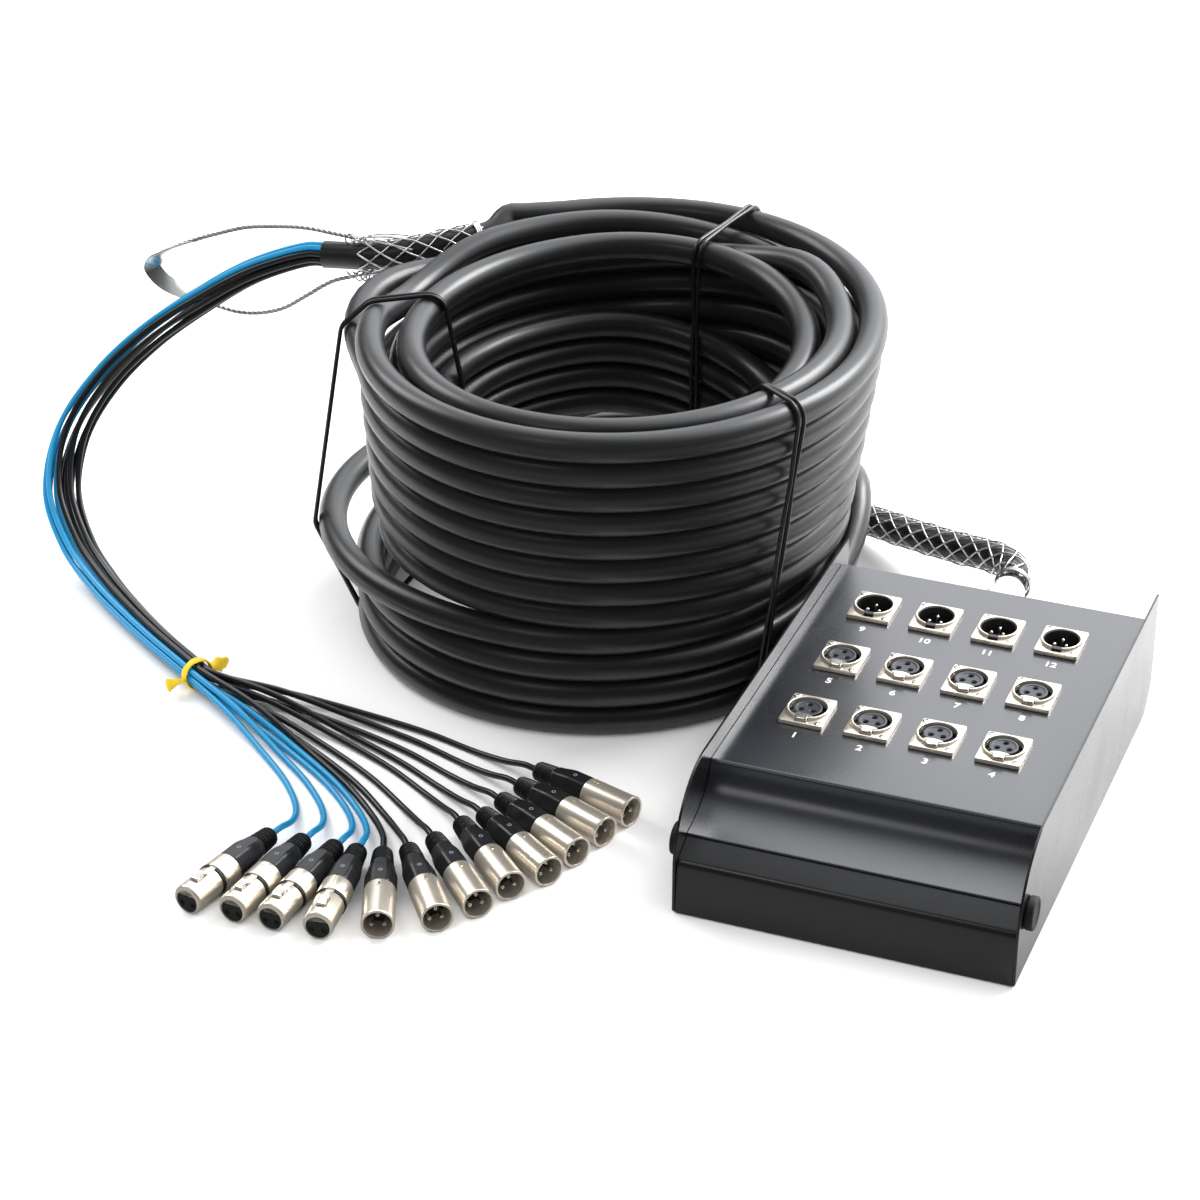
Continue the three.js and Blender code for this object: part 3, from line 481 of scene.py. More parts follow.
def ring(profile: Array, sides: int = 64) -> Patch:
    """Makes a turned ring: a closed profile of (r, z) carried round the Z axis.

    Args:
        profile: Pairs of radius and height round the section.
        sides: How many sides the ring has.

    Returns:
        The closed ring.
    """
    profile = np.asarray(profile, float)
    return surface(spun(profile[:, :1], profile[:, 1:], circle(sides)), wrap_rows=True)


def arc(centre: tuple[float, float], radius: float, start: float, end: float, steps: int) -> Array:
    """Gives points on an arc: the centre plus radius times (cos a, sin a), a in degrees."""
    angle = np.radians(np.linspace(start, end, steps + 1))
    return np.stack([centre[0] + radius * np.cos(angle), centre[1] + radius * np.sin(angle)], -1)


def rounded(corners: list[tuple[float, float]], radius: float, steps: int = 4, closed: bool = False) -> Array:
    """Rounds the corners of a flat line.

    Each corner becomes the quadratic curve corner + reach ((1 - s)² back + s² on), with back and
    on the unit ways to its neighbours and reach the radius, but at most 0.45 of either side.

    Args:
        corners: The line's corners.
        radius: How far from a corner the rounding starts.
        steps: How many steps a rounding has.
        closed: Whether the last corner joins the first.

    Returns:
        The rounded line.
    """
    points = np.asarray(corners, float)
    before, after = np.roll(points, 1, 0), np.roll(points, -1, 0)
    back, on = before - points, after - points
    shortest = np.minimum(np.linalg.norm(back, axis=1), np.linalg.norm(on, axis=1))
    reach = np.minimum(radius, 0.45 * shortest)[:, None, None]
    share = np.linspace(0, 1, steps + 1)[None, :, None]
    curves = points[:, None] + reach * ((1 - share) ** 2 * unit(back)[:, None] + share**2 * unit(on)[:, None])
    if closed:
        return curves.reshape(-1, 2)
    return np.vstack([points[:1], curves[1:-1].reshape(-1, 2), points[-1:]])


def prism(outline: Array, low: float, high: float, chamfer: float = 0.0) -> Patch:
    """Makes an upright piece from a flat outline, with its top edge drawn in by the chamfer.

    Args:
        outline: The outline's points in X and Y, in order round it.
        low: Height of its underside.
        high: Height of its top.
        chamfer: How far the top edge is cut back.

    Returns:
        The closed piece.
    """
    middle = outline.mean(0)
    inward = unit(middle - outline) * chamfer
    rows = [(outline, low), (outline, high - chamfer), (outline + inward, high)]
    grid = np.stack([np.column_stack([line, np.full(len(line), height)]) for line, height in rows])
    sides = surface(grid)
    count = len(outline)
    bottom, top = np.arange(count)[::-1][None], (2 * count + np.arange(count))[None]
    flat = np.zeros((1, count, 2))
    return Patch(sides.points, (*sides.faces, bottom, top), (*sides.uvs, flat, flat)).outward()


def block(low: tuple[float, float, float], high: tuple[float, float, float]) -> Patch:
    """Makes a plain cutter between two corners."""
    (x0, y0, z0), (x1, y1, z1) = low, high
    return prism(np.array(oblong((x0, y0), (x1, y1)), float), z0, z1)


def plate_on_section(outer: Array, inner: Array, low: Array | float, high: Array | float) -> Patch:
    """Makes a bent sheet from its section in Y and Z, drawn out along X from low to high."""
    count = len(outer)
    low, high = np.broadcast_to(low, count), np.broadcast_to(high, count)
    corner = [(low, outer), (high, outer), (high, inner), (low, inner)]
    grid = np.stack([np.column_stack([x, line]) for x, line in corner], 1)
    return surface(grid, caps=True)


def offset(line: Array, distance: float) -> Array:
    """Gives a flat line moved to its left by a distance."""
    way = unit(np.gradient(line, axis=0))
    return line + distance * np.column_stack([-way[:, 1], way[:, 0]])


def raw_mesh(patch: Patch, name: str, scale: float) -> bpy.types.Mesh:
    """Puts a patch into a mesh.

    Args:
        patch: The patch.
        name: The mesh's name.
        scale: What a millimetre becomes.

    Returns:
        The mesh.
    """
    mesh = bpy.data.meshes.new(name)
    counts = np.concatenate([np.full(len(face), face.shape[1]) for face in patch.faces])
    corners = np.concatenate([face.ravel() for face in patch.faces])
    mesh.vertices.add(len(patch.points))
    mesh.vertices.foreach_set("co", (patch.points * scale).astype(np.float32).ravel())
    mesh.loops.add(len(corners))
    mesh.loops.foreach_set("vertex_index", corners.astype(np.int32))
    mesh.polygons.add(len(counts))
    mesh.polygons.foreach_set("loop_start", np.concatenate([[0], np.cumsum(counts)[:-1]]).astype(np.int32))
    layer = mesh.uv_layers.new(name="map")
    layer.data.foreach_set("uv", np.concatenate([uv.ravel() for uv in patch.uvs]).astype(np.float32))
    mesh.update(calc_edges=True)
    mesh.validate()
    return mesh


def cut(body: Patch, *cutters: Patch) -> Patch:
    """Takes cutters out of a closed patch with Blender's exact boolean.

    Args:
        body: What is cut.
        cutters: What is taken out of it.

    Returns:
        The cut patch, with an empty map.
    """
    scene = bpy.context.scene
    work = bpy.data.objects.new("work", raw_mesh(body, "work", 1.0))
    tool = bpy.data.objects.new("tool", raw_mesh(joined(*cutters), "tool", 1.0))
    scene.collection.objects.link(work)
    scene.collection.objects.link(tool)
    modifier = work.modifiers.new("cut", "BOOLEAN")
    modifier.operation, modifier.object, modifier.solver = "DIFFERENCE", tool, "EXACT"
    modifier.use_self = True
    bpy.context.view_layer.update()
    mesh = work.evaluated_get(bpy.context.evaluated_depsgraph_get()).to_mesh()
    points = np.empty(len(mesh.vertices) * 3, np.float32)
    mesh.vertices.foreach_get("co", points)
    corners = np.empty(len(mesh.loops), np.int32)
    mesh.loops.foreach_get("vertex_index", corners)
    starts, counts = np.empty(len(mesh.polygons), np.int32), np.empty(len(mesh.polygons), np.int32)
    mesh.polygons.foreach_get("loop_start", starts)
    mesh.polygons.foreach_get("loop_total", counts)
    faces = tuple(
        corners[starts[counts == count][:, None] + np.arange(count)[None]] for count in np.unique(counts)
    )
    for thing in (work, tool):
        data = thing.data
        bpy.data.objects.remove(thing)
        bpy.data.meshes.remove(data)
    uvs = tuple(np.zeros((*face.shape, 2)) for face in faces)
    return Patch(points.reshape(-1, 3).astype(float), faces, uvs)


def place_mesh(mesh: bpy.types.Mesh, name: str, finish: Finish, body: str) -> bpy.types.Object:
    """Makes a piece from a finished mesh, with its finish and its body.

    Args:
        mesh: The mesh, with its place in it.
        name: The piece's name.
        finish: Its finish.
        body: The body that it moves with.

    Returns:
        The piece.
    """
    mesh.materials.append(finish.material())
    made = bpy.data.objects.new(name, mesh)
    bpy.context.scene.collection.objects.link(made)
    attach(made, body)
    return made


def add_piece(
    patch: Patch, name: str, finish: Finish, stands_for: tuple[str, ...] = (), body: str = ROOT,
    smooth: float = 35.0, bevel: float = 0.0,
) -> bpy.types.Object:
    """Makes a piece of the object and lets it ride on its body.

    Args:
        patch: The piece's surface in millimetres.
        name: The piece's name.
        finish: Its finish.
        stands_for: The CAD nodes that it stands for.
        body: The body that it moves with.
        smooth: Edges that turn less than this many degrees are shaded smooth.
        bevel: Width of the rounding that a modifier gives its sharp edges, in millimetres.

    Returns:
        The piece.
    """
    mesh = raw_mesh(patch, name, MM)
    mesh.polygons.foreach_set("use_smooth", np.ones(len(mesh.polygons), bool))
    mesh.set_sharp_from_angle(angle=math.radians(smooth))
    made = place_mesh(mesh, name, finish, body)
    if bevel:
        modifier = made.modifiers.new("edges", "BEVEL")
        modifier.width, modifier.segments = bevel * MM, 2
        modifier.limit_method, modifier.angle_limit = "ANGLE", math.radians(50)
    if stands_for:
        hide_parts(*stands_for)
    log.info("%s: %d points, %d faces", name, len(mesh.vertices), len(mesh.polygons))
    return made


def node_box(name: str) -> tuple[Array, Array]:
    """Gives a CAD node's lowest and highest corners in millimetres."""
    low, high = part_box(name)
    return np.array(low) / MM, np.array(high) / MM


def node_middle(name: str) -> Array:
    """Gives the middle of a CAD node's box in millimetres."""
    return sum(node_box(name)) / 2


# The box


@dataclass(frozen=True)
class SteelBox:
    """The folded steel box: a tray with cheeks, front fold and rear wall, and a bent cover."""

    sheet: float = 1.5
    fold: float = 3.0
    nose_reach: float = 49.0
    nose_rise: float = 51.0
    heel: float = 27.0
    panel_front: float = -97.0
    rear_fold: float = 12.0
    cover_fold: float = 2.5
    ledge: tuple[float, float] = (-136.5, 40.5)
    lip: float = 5.5
    lip_lean: float = 2.4
    lip_slope: float = 25.0
    gap: float = 0.05
    cutout: float = 12.0
    edge: float = 0.3
    mark_size: float = 7.6
    mark_weight: float = 0.16
    mark_ahead: float = 25.0

    def front_at(self, height: Array) -> Array:
        """Gives how far forward a cheek reaches: a quarter ellipse above, a small arc at the floor."""
        low, high = node_box("base_tray")
        start = high[2] - self.nose_rise
        rise = np.clip((height - start) / self.nose_rise, 0, 1)
        foot = np.clip(1 - height / self.fold, 0, 1)
        return low[1] + self.nose_reach * (1 - np.sqrt(1 - rise**2)) + self.fold * (1 - np.sqrt(1 - foot**2))

    def rear_at(self, height: Array) -> Array:
        """Gives how far back a cheek reaches: straight, with a round heel of one radius."""
        high = node_box("base_tray")[1]
        drop = np.clip(1 - height / self.heel, 0, 1)
        return high[1] - self.heel * (1 - np.sqrt(1 - drop**2))

    def trough(self) -> Patch:
        """Makes the folded floor and cheeks.

        The section runs down one cheek, round a fold, over the floor and up the other cheek. It
        is drawn from the front to the rear limit at each height.

        Returns:
            The closed sheet.
        """
        low, high = node_box("base_tray")
        sweep = np.radians(np.linspace(0, 90, 22))
        nose = high[2] - self.nose_rise + self.nose_rise * np.sin(sweep)
        heel = self.heel * (1 - np.sin(sweep))
        heights = np.unique(np.concatenate([nose, heel[heel > self.fold], [self.fold]]))[::-1]
        left = np.column_stack([np.full(len(heights), low[0]), heights])
        corner = arc((low[0] + self.fold, self.fold), self.fold, 180, 270, 8)
        half = np.vstack([left[:-1], corner])
        outer = np.vstack([half, (half * [-1, 1])[::-1]])
        inner = offset(outer, self.sheet)
        inner[0, 1] = inner[-1, 1] = high[2]

        def row(line: Array, limit: Array) -> Array:
            """Gives the section's points at one limit in Y."""
            return np.stack([line[:, 0], limit, line[:, 1]], -1)

        front, rear = self.front_at(outer[:, 1]), self.rear_at(outer[:, 1])
        grid = np.stack([row(outer, front), row(outer, rear), row(inner, rear), row(inner, front)], 1)
        return surface(grid, caps=True)

    def front_fold(self) -> Patch:
        """Makes the front face: up from the floor's fold, round a lip and on to the ledge.

        Returns:
            The closed sheet.
        """
        low, high = node_box("base_tray")
        top = 90 + self.lip_slope
        slope = math.tan(math.radians(self.lip_slope))
        lip_y = low[1] + self.lip_lean + self.lip
        tip = (self.lip * math.cos(math.radians(top)), self.lip * math.sin(math.radians(top)))
        lip_z = self.ledge[1] - tip[1] - (self.ledge[0] - lip_y - tip[0]) * slope
        foot = rounded([(low[1] + 2 * self.fold, 0), (low[1], 0), (lip_y - self.lip, lip_z)], self.fold, 8)
        outer = np.vstack([foot[:-1], arc((lip_y, lip_z), self.lip, 180, top, 14), [self.ledge]])
        reach = high[0] - self.sheet - 0.1
        return plate_on_section(outer, offset(outer, -self.sheet), -reach, reach)

    def rear_wall(self) -> Patch:
        """Makes the rear wall, folded up from the floor.

        Returns:
            The closed sheet.
        """
        rear, top = node_box("top_cover")[1][1:]
        high = node_box("base_tray")[1]
        bend = arc((rear - self.rear_fold, self.rear_fold), self.rear_fold, -90, 0, 10)
        outer = np.vstack([[rear - 2 * self.rear_fold, 0], bend, [rear, top - self.sheet - self.gap]])
        reach = high[0] - self.sheet - 0.1
        return plate_on_section(outer, offset(outer, self.sheet), -reach, reach)

    def cover(self) -> Patch:
        """Makes the cover: a level panel, a small bend and a hollow cove down to the ledge.

        The cove is the quadratic curve from the bend to the ledge, pulled to a knee close below.

        Returns:
            The closed sheet with its socket holes.
        """
        low, high = node_box("top_cover")
        foot = np.array([self.ledge[0], self.ledge[1] + self.sheet + self.gap])
        reach, drop = self.panel_front - foot[0], high[2] - foot[1]
        start = np.array([self.panel_front - self.cover_fold, high[2] - self.cover_fold])
        knee = np.array([self.panel_front - 0.13 * reach, high[2] - 0.8 * drop])
        share = np.linspace(0, 1, 28)[1:, None]
        cove = (1 - share) ** 2 * start + 2 * share * (1 - share) * knee + share**2 * foot
        bend = arc((self.panel_front, high[2] - self.cover_fold), self.cover_fold, 90, 180, 8)
        outer = np.vstack([[high[1], high[2]], bend, cove])
        sheet = plate_on_section(outer, offset(outer, self.sheet), low[0], high[0])
        drill = turned(oblong((0, high[2] - 4), (self.cutout, high[2] + 4)), 64)
        middles = [node_middle(f"panel_socket_{number}") for number in range(1, SOCKETS + 1)]
        holes = [drill.at(middle[0], middle[1], 0) for middle in middles]
        hem = np.array([[low[0], *foot], [high[0], *foot]]) + [0, 0.1, -self.sheet / 2]
        return joined(cut(sheet, *holes), tube(hem, self.sheet / 2, 16))

    def bumper(self) -> Patch:
        """Makes a round rubber bumper with a soft edge, a shallow dish and a middle boss.

        Returns:
            The bumper, standing on z = 0.
        """
        low, high = node_box("bumper_right")
        radius, thick = (high[1] - low[1]) / 2, high[0] - low[0]
        side = [(0, 0), (radius, 0), (radius, thick), (radius * 0.7, thick),
                (radius * 0.62, thick - 0.5), (0, thick - 0.5)]
        return turned(rounded(side, 1.1, 5), 64)

    def mark(self, text: str, x: float, y: float) -> None:
        """Makes a plain channel number that lies on the panel.

        Args:
            text: The number.
            x: Its middle across the box.
            y: Its middle along the box.
        """
        top = node_box("top_cover")[1][2]
        words = bpy.data.curves.new("words", "FONT")
        words.body, words.size, words.offset = text, self.mark_size * MM, self.mark_weight * MM
        words.align_x, words.align_y = "CENTER", "CENTER"
        words.extrude, words.resolution_u = 0.02 * MM, 4
        holder = bpy.data.objects.new("words", words)
        bpy.context.scene.collection.objects.link(holder)
        bpy.context.view_layer.update()
        mesh = bpy.data.meshes.new_from_object(holder.evaluated_get(bpy.context.evaluated_depsgraph_get()))
        bpy.data.objects.remove(holder)
        points = np.empty(len(mesh.vertices) * 3, np.float32)
        mesh.vertices.foreach_get("co", points)
        points = points.reshape(-1, 3) + np.array([x, y, top + 0.03]) * MM
        mesh.vertices.foreach_set("co", points.astype(np.float32).ravel())
        mesh.materials.clear()
        place_mesh(mesh, f"channel_mark_{text}", Finishes.mark_paint, ROOT)

    def build(self) -> None:
        """Makes the box, its bumpers and its channel numbers."""
        sheets = {
            "tray_cheeks": self.trough(), "tray_front": self.front_fold(), "tray_rear": self.rear_wall(),
        }
        for name, sheet in sheets.items():
            add_piece(sheet, name, Finishes.box_paint, ("base_tray",), bevel=self.edge)
        add_piece(self.cover(), "cover", Finishes.panel_paint, ("top_cover",))
        for node, out in (("bumper_right", 1.0), ("bumper_left", -1.0)):
            low, high = node_box(node)
            foot = np.array([low[0] if out > 0 else high[0], *(low + high)[1:] / 2])
            lean = np.array([[0, out, 0], [0, 0, 1], [out, 0, 0]], float)
            add_piece(self.bumper().moved(lean, foot), f"{node}_pad", Finishes.bumper_rubber, (node,))
        for number in range(1, SOCKETS + 1):
            middle = node_middle(f"panel_socket_{number}")
            self.mark(str(number), middle[0], middle[1] - self.mark_ahead)


# Contacts shared by sockets and plugs


@dataclass(frozen=True)
class Contacts:
    """Three contacts or contact holes on a circle, as seen from the mating side."""

    radius: float = 1.2
    circle: float = 4.1
    recess: float = 2.8
    bearings: tuple[float, ...] = (-150.0, -30.0, 90.0)

    def places(self) -> Array:
        """Gives the contacts' middles on their circle."""
        angle = np.radians(self.bearings)
        return self.circle * np.stack([np.cos(angle), np.sin(angle)], -1)

    def pins(self, floor: float, tip: float) -> Patch:
        """Makes round-nosed pins between two heights."""
        nose = arc((0, tip - self.radius), self.radius, 0, 90, 6)
        pin = turned(np.vstack([[(0, floor), (self.radius, floor)], nose]), 20)
        return joined(*(pin.at(x, y, 0) for x, y in self.places()))

    def drills(self, low: float, high: float, radius: float = 1.45) -> list[Patch]:
        """Makes cutters for contact holes with a small countersink at the top."""
        profile = [(0, low), (radius, low), (radius, high - 0.6), (radius + 0.9, high + 0.3), (0, high + 0.3)]
        drill = turned(profile, 24)
        return [drill.at(x, y, 0) for x, y in self.places()]


# Panel sockets


@dataclass(frozen=True)
class PanelSocket:
    """A panel socket about its own axis, with its own zero at the cover's top."""

    number: int
    gender: Gender
    width: float = 26.0
    depth: float = 31.0
    plate: float = 2.4
    seat: float = 0.3
    corner: float = 1.6
    rim: float = 12.2
    rim_wall: float = 1.25
    rim_rise: float = 1.9
    insert: float = 8.3
    cavity: float = 16.5
    tab_width: float = 6.8
    tab_height: float = 3.4
    tab_reach: float = 1.4
    travel: float = 1.5
    slide: float = 0.35
    lens_half: float = 6.0
    lens_apex: float = 7.4
    groove: float = 5.3
    key: float = 6.0
    screws: tuple[tuple[float, float], ...] = ((-10.2, 12.7), (10.2, -12.7))
    contacts: Contacts = Contacts()

    @property
    def top(self) -> float:
        """Height of the rim's top."""
        return self.seat + self.plate + self.rim_rise

    def flange(self) -> Patch:
        """Makes the flange with a soft top edge, round the hole that the rim fills.

        Returns:
            The closed plate.
        """
        w, d = self.width / 2, self.depth / 2
        outline = rounded(oblong((-w, -d), (w, d)), self.corner, 6, closed=True)
        fill = np.repeat(outline, 2, axis=0)
        fill[1::2] = (outline + np.roll(outline, -1, 0)) / 2
        bore = unit(fill) * (self.rim - 0.4)
        top = self.seat + self.plate
        rows = [(bore, self.seat), (fill, self.seat), (fill, top - 0.45), (fill * (1 - 0.12 / w), top - 0.13),
                (fill * (1 - 0.4 / w), top), (bore, top)]
        grid = np.stack([np.column_stack([line, np.full(len(line), height)]) for line, height in rows])
        return surface(grid, wrap_rows=True)

    def rim_ring(self) -> Patch:
        """Makes the raised rim with a rounded crown and a small fillet step at its foot.

        Returns:
            The closed ring.
        """
        outer, inner, foot = self.rim, self.rim - self.rim_wall, self.seat + self.plate
        section = rounded(
            [(inner, foot - 2.2), (outer - 0.3, foot - 2.2), (outer - 0.3, foot - 0.1), (outer + 0.5, foot),
             (outer, foot + 0.55), (outer, self.top), (inner, self.top)], 0.5, 4, closed=True,
        )
        return ring(section, 96)

    def screw(self) -> Patch:
        """Makes a countersunk cross-head screw.

        Its top is a low dome less a cross-shaped recess: height = dome - depth times how far
        inside either arm of the cross a point is.

        Returns:
            The screw head, with its own zero at the plate's top.
        """
        radius, arm, reach, deep = 2.3, 0.42, 1.55, 0.7
        radii = np.concatenate([np.linspace(0.02, 1.9, 22), [2.1, radius]])
        angle = circle(72)
        x, y, _ = np.moveaxis(spun(radii[:, None], 0, angle), -1, 0)
        across, along = np.minimum(np.abs(x), np.abs(y)), np.maximum(np.abs(x), np.abs(y))
        inside = (1 - eased(across, arm * 0.6, arm * 1.3)) * (1 - eased(along, reach * 0.7, reach))
        height = 0.5 * (1 - (np.hypot(x, y) / radius) ** 2) - deep * inside
        top = np.stack([x, y, height], -1)
        foot = spun(np.array(radius), -0.5, angle)
        return surface(np.concatenate([top, foot[None]]), caps=True)

    def tab_outline(self, room: float = 0.0) -> Array:
        """Gives the push tab's outline: a lens inside the rim and a thumb piece through its gap.

        Args:
            room: How much wider the outline is all round.

        Returns:
            The outline's points.
        """
        inner = self.rim - self.rim_wall - 0.15 + room
        half, thumb = self.lens_half + room, self.tab_width / 2 + room
        apex, side = -self.lens_apex + room, -math.sqrt(inner**2 - half**2)
        share = np.linspace(-1, 1, 17)
        lens = np.column_stack([-half * share, apex + (side - apex) * share**2])[::-1]
        angle = np.linspace(math.atan2(side, half), -math.acos(thumb / inner), 6)
        right = inner * np.column_stack([np.cos(angle), np.sin(angle)])
        front = -self.rim - self.tab_reach - room
        back = right[-1, 1]
        nose = rounded([(thumb, back), (thumb, front), (-thumb, front), (-thumb, back)], 1.2, 4)
        left = (right * [-1, 1])[::-1]
        return np.vstack([lens, right[1:-1], nose, left[1:-1]])

    def push_tab(self) -> Patch:
        """Makes the push tab with a soft top edge."""
        top = self.top + self.slide
        return prism(self.tab_outline(), top - self.tab_height, top, 0.35)

    def female_insert(self) -> Patch:
        """Makes the insert of a female socket, with its holes and the push tab's pocket.

        Returns:
            The closed insert.
        """
        face = self.top - 0.5
        body = turned(
            rounded([(0, face - 5), (self.insert, face - 5), (self.insert, face), (self.insert - 1.5, face),
                     (self.insert - 1.7, face - 0.35), (0, face - 0.35)], 0.3, 3), 72,
        )
        floor = self.top - self.tab_height - self.travel - self.slide
        pocket = prism(self.tab_outline(0.3), floor, self.top + 1)
        return cut(body, pocket, *self.contacts.drills(face - 4, face - 0.35))

    def female_liner(self) -> Patch:
        """Makes the black floor of the groove between insert and rim."""
        deep = self.top - self.groove
        return ring(oblong((self.insert - 0.2, deep - 1.5), (self.rim - 0.25, deep)))

    def male_liner(self) -> Patch:
        """Makes the black cup that lines a male socket.

        Returns:
            The closed cup.
        """
        wall, floor = self.rim - self.rim_wall, self.top - self.cavity
        return turned(
            rounded([(0, floor - 3), (wall + 0.9, floor - 3), (wall + 0.9, self.seat),
                     (wall - 0.05, self.seat), (wall - 0.05, self.top - 0.75), (wall - 0.7, self.top - 0.9),
                     (wall - 0.7, floor), (0, floor)], 0.25, 2), 72,
        )

    def key_block(self) -> Patch:
        """Makes the black key that fills the rim's near gap."""
        half = self.key / 2 - 0.1
        near, far = -self.rim - 0.5, -self.rim + self.rim_wall + 1.6
        outline = rounded(oblong((-half, near), (half, far)), 0.3, 3, closed=True)
        return prism(outline, self.seat + self.plate - 0.4, self.top - 0.5, 0.2)

    def build(self) -> None:
        """Makes the socket's pieces and puts them on the panel."""
        node = f"panel_socket_{self.number}"
        middle = node_middle(node)
        x, y, z = middle[0], middle[1], node_box("top_cover")[1][2]
        deep = self.seat + self.plate
        male = self.gender is Gender.MALE
        half = self.key / 2 if male else self.tab_width / 2 + self.slide
        floor = deep - 0.6 if male else self.top - self.tab_height - self.travel - self.slide
        near = -self.rim - self.tab_reach - self.slide
        gap = block((-half, near, floor), (half, -self.insert, self.top + 1))
        plates = [cut(self.flange(), gap), cut(self.rim_ring(), gap)]
        screws = [self.screw().at(dx, dy, deep + 0.05) for dx, dy in self.screws]

        def put(
            patch: Patch, part: str, finish: Finish, stands_for: tuple[str, ...] = (), body: str = ROOT,
        ) -> None:
            """Makes one of the socket's pieces in its place."""
            add_piece(patch.at(x, y, z), f"{part}_{self.number}", finish, stands_for, body)

        put(joined(*plates), "socket_plate", Finishes.nickel, (node,))
        put(joined(*screws), "socket_screws", Finishes.screw_steel)
        if male:
            liner = joined(self.male_liner(), self.key_block())
            pins = self.contacts.pins(self.top - self.cavity - 0.5, self.top - self.contacts.recess)
            put(pins, "socket_pins", Finishes.contact)
        else:
            liner = self.female_liner()
            put(self.female_insert(), "socket_insert", Finishes.insert_plastic)
            latch = f"panel_latch_{self.number}"
            put(self.push_tab(), "push_tab", Finishes.chrome, (latch,), latch)
        put(liner, "socket_liner", Finishes.cavity_plastic)


# Free plugs


@dataclass(frozen=True)
class PlugPlace:
    """Where a plug lies: its cable entry and the heading of its nose in degrees."""

    x: float
    y: float
    heading: float

    @property
    def way(self) -> Array:
        """The way from the cable entry to the nose."""
        turn = math.radians(self.heading)
        return np.array([math.cos(turn), math.sin(turn), 0.0])


FEMALE_PLACES = (
    PlugPlace(-333, -177, -101),
    PlugPlace(-313, -175, -95.6),
    PlugPlace(-293.5, -174, -93),
    PlugPlace(-280.5, -173, -82),
)
MALE_PLACES = (
    PlugPlace(-266.5, -170.5, -68),
    PlugPlace(-255, -162, -53),
    PlugPlace(-246, -147, -46),
    PlugPlace(-238, -126.5, -43.5),
    PlugPlace(-230, -113.5, -35.4),
    PlugPlace(-226.5, -96, -29.4),
    PlugPlace(-222.5, -77.5, -23.5),
    PlugPlace(-218.5, -59, -18),
)


